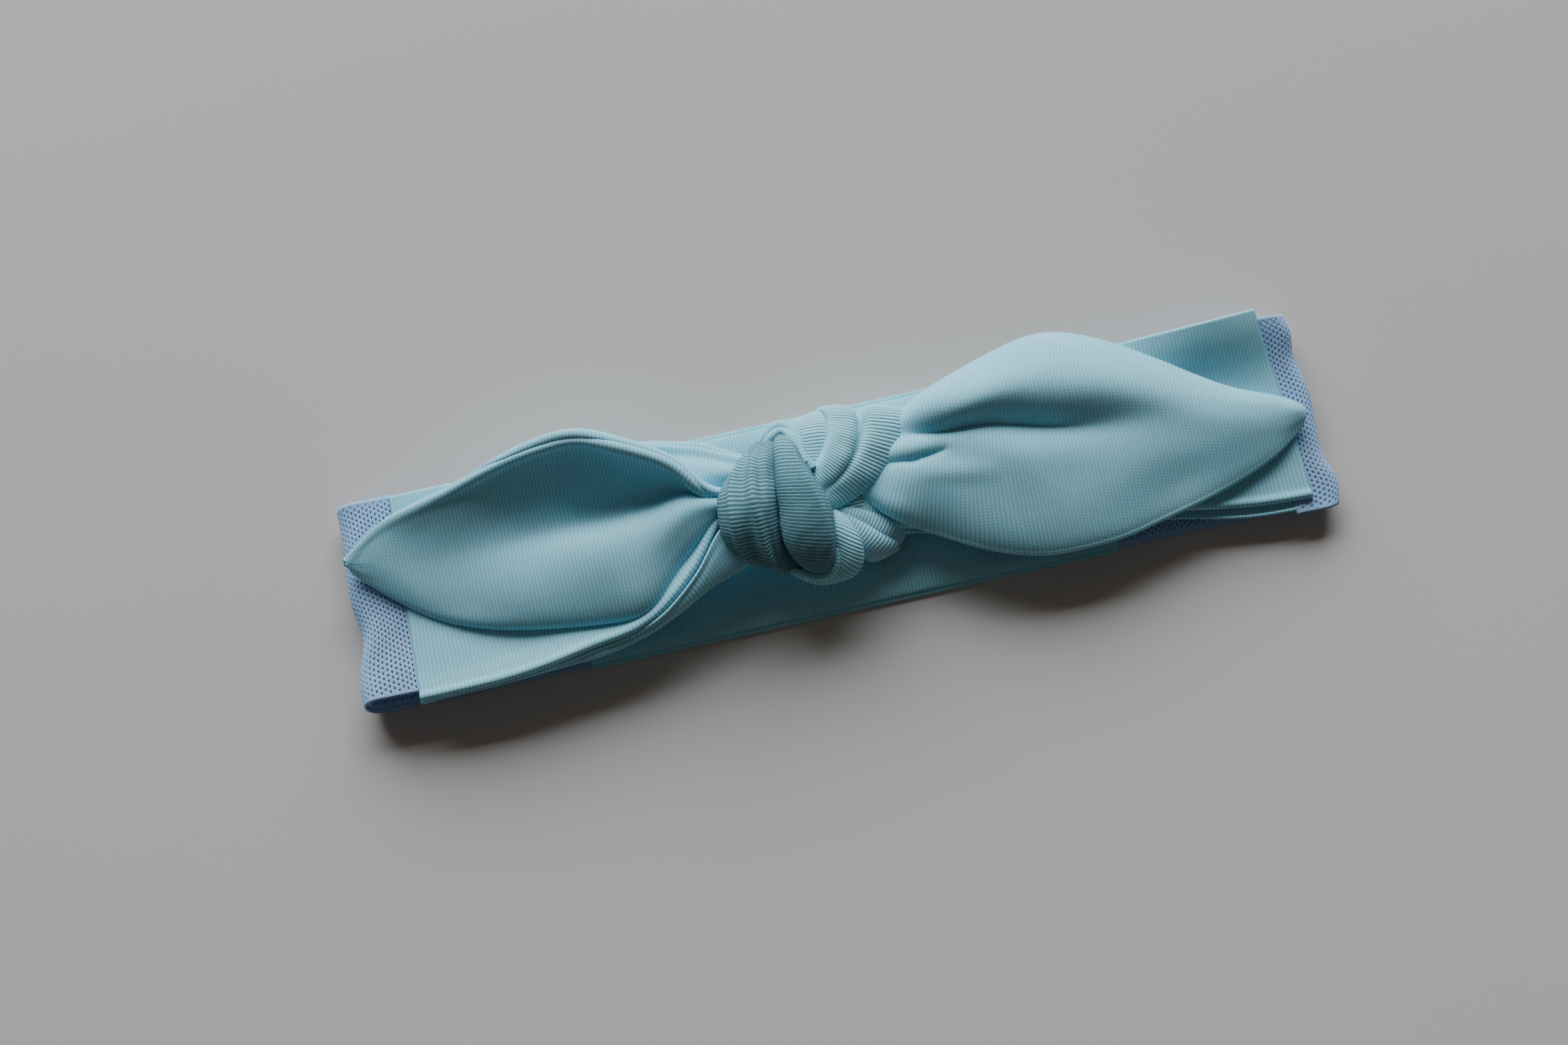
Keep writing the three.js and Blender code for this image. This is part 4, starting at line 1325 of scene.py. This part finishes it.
RIGHT_EAR = drawn(
    ((8, 7.6, 7.2, 6.8, 6.4, 6, 5.6, 5, 4.6, 4.2, 4.2),
     (12, 11.4, 10.6, 9.8, 9, 8, 7, 5.8, 4.8, 4, 3.6),
     (2.6, 3.4, 3.6, 3.4, 3.4, 3.6, 3.6, 3.6, 3.4, 3, 2.6)),
    ((17.8, 17.2, 16.8, 16.4, 15.8, 15.2, 14.4, 13.2, 11.4, 9.8, 9.6),
     (17.6, 16.8, 15.8, 14.6, 12.8, 10.8, 8.4, 5.8, 2.8, 0, -0.6),
     (1.8, 2.8, 3.4, 3.8, 4.8, 6, 5.6, 5.4, 5, 3.8, 3)),
    ((22.6, 22.2, 22.2, 22.2, 21.8, 21.4, 20.6, 19.4, 17, 15, 14.8),
     (20.8, 20, 18.4, 16, 13.6, 11.4, 8.8, 5, -0.2, -4.6, -5.4),
     (3, 4.8, 6.6, 6.6, 6.8, 8.6, 8, 7.8, 6.6, 4.6, 3.4)),
    ((30, 29.8, 29.8, 29.8, 29.6, 29.2, 28.6, 27.6, 25.6, 24, 23.8),
     (24.6, 23.6, 21.2, 17, 13.6, 11.4, 8.6, 4.2, -3, -10.2, -11.2),
     (4, 7.6, 10.8, 10.2, 7.2, 8.8, 8.6, 8.4, 6.8, 3.4, 2.4)),
    ((39.4, 39.4, 39.4, 39.4, 39.4, 39.4, 39, 38.2, 37, 36, 35.8),
     (27.9, 26.8, 24, 19, 14, 11.8, 9, 2.6, -7.2, -16.6, -17.6),
     (3.8, 7.4, 11, 12.4, 7.2, 7.8, 9, 8.6, 6.9, 3.4, 2.4)),
    (50, (31.1, 29.8, 26.4, 21, 14.8, 11, 7.2, 0, -10, -20.9, -21.9),
     (3.4, 6.8, 10.4, 12.6, 8.8, 5.8, 8, 8.5, 6.4, 3, 2)),
    (60, (32.3, 31, 27.4, 21.6, 14.6, 9.2, 5, -3, -12.4, -21.4, -22.4),
     (3, 6, 9.6, 12.2, 10, 5.8, 7.4, 7.1, 5.4, 2.7, 1.8)),
    (70, (29.7, 28.4, 25, 20, 14, 8, 3.4, -4, -12.6, -20.8, -21.8),
     (2.8, 5.2, 8.4, 10.8, 9.8, 6.4, 6.6, 6.1, 4.7, 2.4, 1.6)),
    (80, (24.7, 23.6, 21, 17, 12.4, 7.4, 2.4, -4, -11.4, -18.8, -19.8),
     (2.6, 4.4, 6.8, 8.8, 8.8, 7, 6.2, 5.2, 3.4, 1.4, 0.8)),
    (92, (17, 16.2, 14.4, 11.6, 8.4, 4.8, 0.8, -4, -9.8, -16, -16.9),
     (2.4, 3.6, 5, 6.2, 6.6, 6.2, 5.4, 4.4, 2.9, 1.3, 0.8)),
    (105, (9.1, 8.5, 7.4, 5.8, 3.8, 1.6, -1, -4, -7.8, -11.8, -12.5),
     (2.2, 3, 3.8, 4.6, 4.8, 4.7, 4.2, 3.4, 2.4, 1.2, 0.8)),
    (115, (5, 4.6, 4, 3, 1.8, 0.4, -1.2, -3, -5, -6.9, -7.4),
     (2, 2.5, 3, 3.4, 3.5, 3.4, 3.1, 2.6, 1.9, 1.1, 0.8)),
    (120.2, (2, 1.8, 1.5, 1.1, 0.6, 0, -0.6, -1.3, -2, -2.7, -2.9),
     (1.8, 2.1, 2.4, 2.6, 2.7, 2.6, 2.4, 2.1, 1.6, 1.1, 0.9)),
    (121.9, (0.5, 0.5, 0.4, 0.2, 0, -0.1, -0.3, -0.5, -0.7, -0.9, -0.9), (1.6,) * 11),
)


# Small creases at the right ear's root: their two ends, their width and their height.
RIGHT_CREASES = (
    (13.5, 7.4, 23, 5.6, 1.2, -1.3),
    (19, 5.6, 31, 7.4, 1.3, -1.1),
    (20, 3, 42, -1, 2.4, 0.5),
)


# ---- knot ----------------------------------------------------------------------------------------


@dataclass(frozen=True)
class Pleat:
    """A groove along a wrap: its place across it and its depth, from the wrap's start to its end."""

    places: tuple[float, ...]
    depths: tuple[float, ...]
    width: float


@dataclass
class Wrap(Piece):
    """One crowned turn of cloth in the knot, drawn by its two edges and its crown's height."""

    levels: Levels
    name: str
    node: str
    stations: tuple[tuple[Triple, Triple, float], ...]
    tuck: float = 3.0
    wrapped: float = 1.15
    pleats: tuple[Pleat, ...] = ()
    thickness: float = 0.8
    wale: float = 0.84
    rib: float = 0.25
    slant: float = 0.0
    rows_per_wale: int = 5
    columns: int = 44
    arch: float = 0.68
    seed: int = 1
    hems: tuple["Wrap", ...] = ()
    finish: KnitFinish = TIGHT_JERSEY_PAINTED_SHADE

    @classmethod
    def cord(cls, levels: Levels, name: str, node: str, path: Row, width: float, seed: int) -> "Wrap":
        """Make a narrow rolled rim along a path.

        Args:
            levels: the heights in the flattened loop.
            name: the piece's name.
            node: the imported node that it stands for.
            path: the rim's middle line.
            width: how wide the roll is.
            seed: picks its unevenness.

        Returns:
            The rim.
        """
        line = np.array(path, float)
        forward = unit(np.gradient(line, axis=0) * np.array([1.0, 1.0, 0.0]))
        side = np.stack([-forward[:, 1], forward[:, 0], np.zeros(len(line))], axis=1) * width / 2
        stations = tuple((tuple(p + n), tuple(p - n), width * 0.5) for p, n in zip(line, side))
        return cls(
            levels, name, node, stations,
            tuck=width * 0.45, wrapped=1.4, thickness=0.5, rib=0.0, seed=seed, finish=JERSEY,
        )

    def cloth(self) -> Cloth:
        """Work out the wrap's surface, with its pleats and wales.

        Returns:
            The surface, tucked under at both edges.
        """
        left = np.array([s[0] for s in self.stations], float)
        right = np.array([s[1] for s in self.stations], float)
        crown = np.array([s[2] for s in self.stations], float)
        knots = spacing(np.stack([left, right], axis=1))
        length = np.linalg.norm(np.diff((left + right) / 2, axis=0), axis=-1).sum() * 1.25
        v = np.linspace(0, knots[-1], int(length / self.wale * self.rows_per_wale) + 1)
        left, right = smooth_curve(knots, left, v), smooth_curve(knots, right, v)
        crown = np.maximum(smooth_curve(knots, crown, v), 0.2)
        middle = (left + right) / 2
        middle[:, 2] += crown
        path, chord = unit(np.gradient(middle, axis=0)), unit(right - left)
        up = unit(np.cross(path, chord))
        if up[:, 2].mean() < 0:
            up = -up
        angle = np.linspace(-self.wrapped, math.pi + self.wrapped, self.columns)
        share = (1 - np.cos(angle)) / 2
        tucked = np.sin(angle) * self.tuck
        over = (angle >= 0) & (angle <= math.pi)
        arch = np.clip(np.sin(angle), 0, 1) ** self.arch
        height = np.where(over[None, :], arch[None, :] * crown[:, None], tucked[None, :])
        span = (right - left)[:, None] * share[None, :, None]
        points = left[:, None] + span + up[:, None] * height[..., None]
        points[..., 2] += self.levels.front
        made = Cloth(EYE.settle(points))
        drop = np.zeros_like(made.across)
        run = np.linspace(0, 1, len(v))
        for pleat in self.pleats:
            where = np.interp(run, np.linspace(0, 1, len(pleat.places)), pleat.places)[:, None]
            depth = np.interp(run, np.linspace(0, 1, len(pleat.depths)), pleat.depths)[:, None]
            off = np.abs(share[None, :] - where) / pleat.width
            drop = drop + depth * np.exp(-(off**1.4)) * over[None, :]
        wave = 0.18 * ripple(made.across, made.along, wave=9, seed=self.seed)
        return made.moved(wave - drop).slanted(self.slant).ribbed(self.wale, self.rib)

    def build(self) -> None:
        """Build the wrap."""
        cloth = self.cloth()
        piece = self.maker.build(self.name, cloth, self.thickness, self.finish)
        hems = tuple(hem.sew() for hem in self.hems)
        self.declare(piece, cloth, (self.node,), "jersey", Held.GATHERED, (), hems=hems)
        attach(piece, Body.FRONT.value)

    def sew(self) -> bpy.types.Object:
        """Returns:
            The finished object.
        """
        piece = self.maker.build(self.name, self.cloth(), self.thickness, self.finish)
        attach(piece, Body.FRONT.value)
        return piece


# Each station of a turn gives its left edge, its right edge and its crown's height over them.
TONGUE = (
    ((-10.8, 20.9, 8), (-9, 20.4, 8), 0.8),
    ((-12.2, 18.8, 9.6), (-7.4, 17.9, 9.8), 2.2),
    ((-13, 15, 11), (-6.2, 14.4, 10.8), 3.4),
    ((-13.6, 10, 11.6), (-4.8, 9.8, 10.8), 4.4),
    ((-14.1, 5, 11.4), (-2.6, 4.4, 10.2), 5),
    ((-14.5, 0.6, 11), (-1.6, -0.4, 9.4), 5.2),
    ((-14.6, -3.8, 10.4), (-1.7, -5, 8.6), 5),
    ((-13.9, -7.6, 9.4), (-2.6, -8.8, 7.6), 4.4),
    ((-12.2, -10.6, 7.8), (-3.4, -11.8, 6.2), 3.4),
    ((-9.6, -12.8, 5.6), (-4.2, -13.6, 4.6), 2.2),
    ((-7, -14, 3), (-5, -14.4, 2.8), 0.9),
)
LOBES = (
    ((-14.6, 20.2, 4.4), (-9.6, 21.4, 6), 1),
    ((-18.2, 16.8, 5.4), (-11.4, 18.4, 9), 2.2),
    ((-22.4, 13.9, 6.2), (-12.6, 14.8, 10.6), 3.4),
    ((-26.4, 10.8, 6.8), (-13.2, 10.6, 11), 4.2),
    ((-28.8, 7.4, 7), (-13.8, 6, 10.8), 4.8),
    ((-29.5, 3, 6.6), (-14.2, 1.6, 9.8), 4.8),
    ((-29.3, -0.6, 5.6), (-14.4, -2.4, 8.6), 4.4),
    ((-28, -3.6, 4.6), (-14.4, -6, 7.2), 3.8),
    ((-24.6, -5.8, 3.6), (-13.6, -9.2, 5.6), 3),
    ((-20.4, -7.8, 2.4), (-12, -11.6, 4), 2),
    ((-16.4, -9.8, 1.2), (-9.6, -13.4, 2.6), 1),
)
DIAGONAL = (
    ((-0.2, 23.8, -2), (20.5, 19.4, -2.5), 0.4),
    ((0.6, 25.4, 1.6), (22, 20.4, 0.8), 0.6),
    ((1.6, 25, 4.2), (23, 20.2, 3.8), 1.2),
    ((2.2, 23.2, 6.6), (22.2, 17.6, 4.6), 2),
    ((2.1, 20.4, 8.4), (19.8, 13, 4.8), 2.4),
    ((1.4, 17.6, 9.6), (15.8, 8.2, 4.4), 2.6),
    ((-0.4, 14.6, 10.2), (10.8, 4.4, 3.8), 2.8),
    ((-2.4, 12, 10.2), (5.6, 2.2, 3.8), 2.8),
    ((-4, 9.6, 9.2), (1.4, 0.9, 5), 2.4),
    ((-3.8, 5.6, 8.8), (-1.4, 0.1, 6), 1.6),
)
HOOD = (
    ((-12, 19.6, -1.5), (0.6, 22.8, -2), 0.4),
    ((-12, 20.2, 2), (1.4, 24.6, 0.8), 1),
    ((-10.4, 21.8, 4.4), (2.2, 23.4, 3.4), 1.6),
    ((-8.2, 21.2, 6.4), (2.4, 21.2, 5.6), 2),
    ((-6.9, 19.4, 8), (1.8, 18.8, 7.2), 2),
    ((-6.3, 16.6, 8.8), (0.6, 15.8, 8), 1.7),
    ((-5.8, 13.8, 9.2), (-1.2, 13, 8.6), 1.2),
    ((-5.2, 10.4, 9), (-2.6, 10, 8.8), 0.8),
    ((-4.6, 7, 8), (-2, 7, 8), 0.4),
)
BULGE = (
    ((-15.5, -10.2, 2), (-16.2, -11.4, 0.6), 0.6),
    ((-12, -12, 2.4), (-13, -14.8, 0.6), 1.2),
    ((-8, -13.2, 3), (-8.6, -17.4, 0.6), 2),
    ((-4.5, -13, 3.8), (-3.2, -17.8, 0.8), 2.4),
    ((-3, -11.4, 5.4), (2, -16.6, 2.4), 2.6),
    ((-2.5, -8.6, 6.4), (4.2, -13.4, 4), 2.8),
    ((-2, -5, 7.2), (4, -9.6, 5.4), 2.6),
    ((-1.5, -2.5, 6.8), (2, -5.4, 5.4), 2.2),
    ((-1.4, -0.6, 6.8), (0.2, -2.4, 6), 1),
)
LOWER_PLEAT = (
    ((-0.6, -0.6, 5.8), (-1.2, -2.4, 5.4), 0.8),
    ((3.4, -3, 4.8), (0.8, -6.4, 3.8), 1.8),
    ((7.4, -6.4, 3.2), (2.8, -10, 2), 2.4),
    ((10.8, -9.2, 1.6), (4.2, -12.6, 0.4), 2.4),
    ((13.2, -11.6, -0.4), (5.2, -14.2, -1.2), 1.7),
    ((13.4, -13.2, -2), (6.6, -14.8, -2.2), 0.6),
)
MIDDLE_PLEAT = (
    ((-0.4, 0.2, 5.4), (-0.8, -1, 5.2), 0.6),
    ((5.4, -1.4, 4), (3.2, -4.8, 3.4), 1.3),
    ((10.8, -4.2, 2), (7.4, -8.4, 1.4), 1.7),
    ((14.8, -6.8, -0.2), (11.2, -11, -0.8), 1.6),
    ((16.2, -9, -2), (13.8, -12, -2.4), 0.7),
)
UPPER_PLEAT = (
    ((0, 1.4, 4.8), (-0.4, 0, 4.8), 0.6),
    ((6.4, 2.4, 3.2), (5, -2, 3.2), 1),
    ((12.6, -0.2, 1.4), (9.8, -5.4, 1.2), 1.3),
    ((18.2, -4, -0.8), (14.4, -8.6, -1), 1.3),
    ((20, -6.8, -2.2), (17, -9.8, -2.4), 0.6),
)
HEART = (
    ((-22, 14, 1), (6, 14, 1), 2),
    ((-24, 9, 1), (9, 9, 1), 5),
    ((-24, 3, 1), (10, 3, 1), 5),
    ((-22, -3, 1), (8, -3, 1), 4),
    ((-18, -9, 0), (4, -9, 0), 1.5),
)
# The rolled rims follow these lines.
HOOD_EDGE = (
    (-16.6, 18.6, 6.4), (-14.9, 20.7, 7), (-12.6, 22.7, 7.6), (-10.2, 23.7, 8), (-8, 22.8, 8.6),
    (-6.4, 20, 9.8), (-5.8, 17, 10.8), (-5.2, 14, 11.2), (-4, 11.4, 10.8),
)
LINING_EDGE = (
    (-15.6, 18, 7.4), (-13.9, 20, 8.4), (-11.8, 21.6, 9), (-10, 22.2, 9.4), (-8.4, 21.2, 10),
    (-7.3, 18.6, 11), (-6.6, 15.6, 11.6), (-5.6, 13, 11.6),
)
LIP_EDGE = (
    (-16.4, -11, 3), (-13.4, -13.6, 3.4), (-10, -15.6, 3.8), (-6.4, -16.4, 4.4), (-3.6, -15.2, 5.6),
    (-2.2, -12.6, 6.8), (-1.8, -10, 7.4),
)


@dataclass
class Knot:
    """The overhand knot of the two ties in the middle of the front."""

    levels: Levels

    def rims(self) -> tuple[Wrap, Wrap, Wrap]:
        """Give the knot's rolled rims.

        Returns:
            The hood's rim, its lining's, and the lip's under the tongue.
        """
        rim = partial(Wrap.cord, self.levels)
        return (
            rim("knot_hood_rim", "knot_top_loop", HOOD_EDGE, 1.7, 41),
            rim("knot_hood_lining", "knot_top_loop", LINING_EDGE, 1.5, 42),
            rim("knot_under_rim", "knot_under_wrap", LIP_EDGE, 1.6, 43),
        )

    def wraps(self) -> list[Wrap]:
        """Give the knot's wraps, each with its pleats and hems.

        Returns:
            The wraps, the visible ones first and the hidden heart last.
        """
        turn = partial(Wrap, self.levels)
        hood_rim, hood_lining, under_rim = self.rims()
        tongue_pleats = (Pleat((0.7, 0.78, 0.84, 0.8), (0.0, 0.5, 0.8, 0.2), 0.1),)
        lobe_pleats = (
            Pleat((0.5, 0.6, 0.68, 0.71, 0.76), (0.4, 1.8, 2.6, 2.6, 1.4), 0.06),
            Pleat((0.24, 0.28, 0.31, 0.33, 0.3), (0.4, 1.6, 2.2, 1.8, 0.6), 0.07),
            Pleat((0.8, 0.85, 0.86, 0.86, 0.86), (0.4, 0.8, 0.6, 0.8, 0.4), 0.04),
        )
        diagonal_pleats = (
            Pleat((0.41, 0.41, 0.42, 0.42, 0.4, 0.36), (2.2, 3.4, 2.6, 1.2, 0.6, 0.2), 0.055),
            Pleat((0.41, 0.41, 0.41, 0.41), (0.6, 3, 0.4, 0), 0.025),
        )
        hood_hems = (hood_rim, hood_lining)
        fan = "knot_fan_pleats"
        return [
            turn("knot_front", "knot_front_wrap", TONGUE, pleats=tongue_pleats, slant=0.16, seed=31),
            turn("knot_left", "knot_left_wrap", LOBES, pleats=lobe_pleats, seed=32),
            turn("knot_right", "knot_right_wrap", DIAGONAL, pleats=diagonal_pleats, seed=33),
            turn("knot_top", "knot_top_loop", HOOD, wrapped=0.7, tuck=1.5, seed=34, hems=hood_hems),
            turn("knot_under", "knot_under_wrap", BULGE, seed=35, hems=(under_rim,)),
            turn("knot_fan_lower", fan, LOWER_PLEAT, seed=36),
            turn("knot_fan_middle", fan, MIDDLE_PLEAT, seed=38),
            turn("knot_fan_upper", fan, UPPER_PLEAT, seed=39),
            turn("knot_heart", "knot_core", HEART, tuck=1.5, rib=0.0, seed=37),
        ]

    def build(self) -> None:
        """Build every wrap."""
        for wrap in self.wraps():
            wrap.build()


# ---- seams ---------------------------------------------------------------------------------------


@dataclass
class OverlockSeam:
    """Overlocked thread that crosses the inside of the tube where two panels join."""

    levels: Levels
    name: str
    node: str
    x: float
    level: float
    body: Body
    rises: Pairs = ((-30, 0), (30, 0))
    stitch: float = 1.6
    reach: float = 3.2
    thread: float = 0.26

    def build(self) -> None:
        """Build the thread as one zigzag tube."""
        half = self.levels.half_width - 2.0
        count = int(2 * half / self.stitch)
        path = []
        for k in range(count + 1):
            y = -half + k * self.stitch
            path += [(-self.reach / 2, y), (self.reach / 2, y + self.stitch * 0.35)]
        at, rise = np.array(self.rises).T
        path = np.array([(self.x + px, py, self.level + np.interp(py, at, rise)) for px, py in path])
        knots = spacing(path, 1.0)
        centre = smooth_curve(knots, path, np.linspace(0, knots[-1], len(path) * 4))
        forward = unit(np.gradient(centre, axis=0))
        side = unit(np.cross(forward, np.array([0.0, 0.0, 1.0])))
        angle = np.linspace(0, 2 * math.pi, 7)[:-1]
        ring = side[:, None] * np.cos(angle)[None, :, None]
        ring = ring + np.array([0.0, 0.0, 1.0]) * np.sin(angle)[None, :, None]
        points = (centre[:, None] + ring * self.thread / 2).reshape(-1, 3)
        total, sides = len(centre), len(angle)
        index = np.arange(total * sides).reshape(total, sides)
        a, b = index[:-1], np.roll(index, -1, axis=1)[:-1]
        c, d = np.roll(index, -1, axis=1)[1:], index[1:]
        faces = np.stack([a.ravel(), b.ravel(), c.ravel(), d.ravel()], axis=1)
        ends = []
        for last, flip in ((index[0], False), (index[-1], True)):
            quads = [[last[0], last[1], last[2], last[3]], [last[0], last[3], last[4], last[5]]]
            ends += [q[::-1] for q in quads] if not flip else quads
        around = np.tile(np.arange(sides) / sides, total)
        down = np.repeat(np.linspace(0, knots[-1], total), sides)
        uv = np.stack([around, down], axis=1)
        piece = ClothMaker.object(self.name, points, np.concatenate([faces, np.array(ends)]), uv, OVERLOCK)
        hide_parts(self.node)
        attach(piece, self.body.value)
        LOG.info("%s: %d stitches", self.name, count)


# The right join's thread follows the strip's end, which dips towards -Y and rises towards +Y.
RIGHT_JOIN_RISES = (
    (-27, -2.7), (-14, -2.2), (-8, -1.7), (0, -1.5), (8, -1.3), (15, 0.1), (22, 2.7), (27, 4.2),
)


def seams(levels: Levels) -> list[OverlockSeam]:
    """Give the four seams between the panels.

    Args:
        levels: the heights in the flattened loop.

    Returns:
        The nape's two seams, and then the front's.
    """
    base = levels.nape_top / 2
    made = []
    for name, x, level, body in (
        ("nape_left", -levels.nape_half, base, Body.NAPE),
        ("nape_right", levels.nape_half, base, Body.NAPE),
        ("front_left", levels.left_join, levels.front, Body.FRONT),
        ("front_right", levels.right_join, levels.front, Body.FRONT),
    ):
        made.append(OverlockSeam(levels, f"{name}_overlock", f"{name}_seam", x, level, body))
    made[-1].rises = RIGHT_JOIN_RISES
    return made


# ---- studio --------------------------------------------------------------------------------------


@dataclass
class Studio:
    """The table, the window light and the camera."""

    lens: float = 50.0
    table_size: float = 24.0
    window_place: Triple = (0.06, 3.04, 1.5)
    window_size: tuple[float, float] = (4.2, 1.9)
    window_power: float = 243.0
    window_colour: str = "f6fcff"
    sky_colour: str = "fff4ea"
    sky_strength: float = 0.065

    def build(self) -> None:
        """Build the studio, whose own sizes are in metres."""
        self.table()
        self.window()
        self.sky()
        self.camera()

    def table(self) -> None:
        """Lay a pale table top."""
        bpy.ops.object.select_all(action="DESELECT")
        bpy.ops.mesh.primitive_plane_add(size=self.table_size, location=(0, 0, 0))
        floor = bpy.context.object
        floor.name = "table_top"
        floor.data.materials.append(TABLE.material())

    def window(self) -> None:
        """Hang one wide soft lamp behind the table, facing the headband."""
        data = bpy.data.lights.new("window", "AREA")
        data.shape = "RECTANGLE"
        data.size, data.size_y = self.window_size
        data.energy = self.window_power
        data.color = linear_rgb(self.window_colour)[:3]
        made = bpy.data.objects.new("window", data)
        made.location = self.window_place
        made.rotation_euler = (-Vector(self.window_place)).to_track_quat("-Z", "Y").to_euler()
        bpy.context.collection.objects.link(made)

    def sky(self) -> None:
        """Fill the shadows with a weak warm sky."""
        world = bpy.data.worlds.new("sky")
        world.use_nodes = True
        background = world.node_tree.nodes["Background"]
        background.inputs[0].default_value = linear_rgb(self.sky_colour)
        background.inputs[1].default_value = self.sky_strength
        bpy.context.scene.world = world

    def camera(self) -> None:
        """Set the camera at the eye."""
        right, _, back = EYE.axes()
        up = np.cross(back, right)
        data = bpy.data.cameras.new("camera")
        data.lens = self.lens
        data.sensor_width = 36.0
        data.clip_start = 0.01
        made = bpy.data.objects.new("camera", data)
        made.location = (EYE.target() + back * EYE.distance) * MM
        made.rotation_euler = Matrix(np.stack([right, up, back], axis=1).tolist()).to_euler()
        bpy.context.collection.objects.link(made)
        bpy.context.scene.camera = made


def main() -> None:
    """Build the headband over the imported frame."""
    logging.basicConfig(level=logging.INFO, format="%(message)s")
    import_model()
    levels = Levels.read()
    Studio().build()
    NapePanel(levels).build()
    MeshSide(levels, Side.LEFT, LEFT_BULGES, LEFT_TILT).build()
    MeshSide(levels, Side.RIGHT, RIGHT_BULGES, RIGHT_TILT).build()
    Strip(levels, Side.LEFT, LEFT_TOP, LEFT_UNDER).build()
    Strip(levels, Side.RIGHT, RIGHT_TOP, RIGHT_UNDER).build()
    Knot(levels).build()
    left_root = ((-28, 5, 12), (-44, 5, 12))
    right_root = ((14, 8, 12), (27, -1.7, 12))
    Ear(levels, Side.LEFT, Body.LEFT_EAR, LEFT_EAR, (0.95, 0.15), left_root).build()
    Ear(
        levels, Side.RIGHT, Body.RIGHT_EAR, RIGHT_EAR, (0.3, 0.3), right_root,
        seam_rolls_in=0.5, creases=RIGHT_CREASES,
    ).build()
    for seam in seams(levels):
        seam.build()


if __name__ == "__main__":
    main()
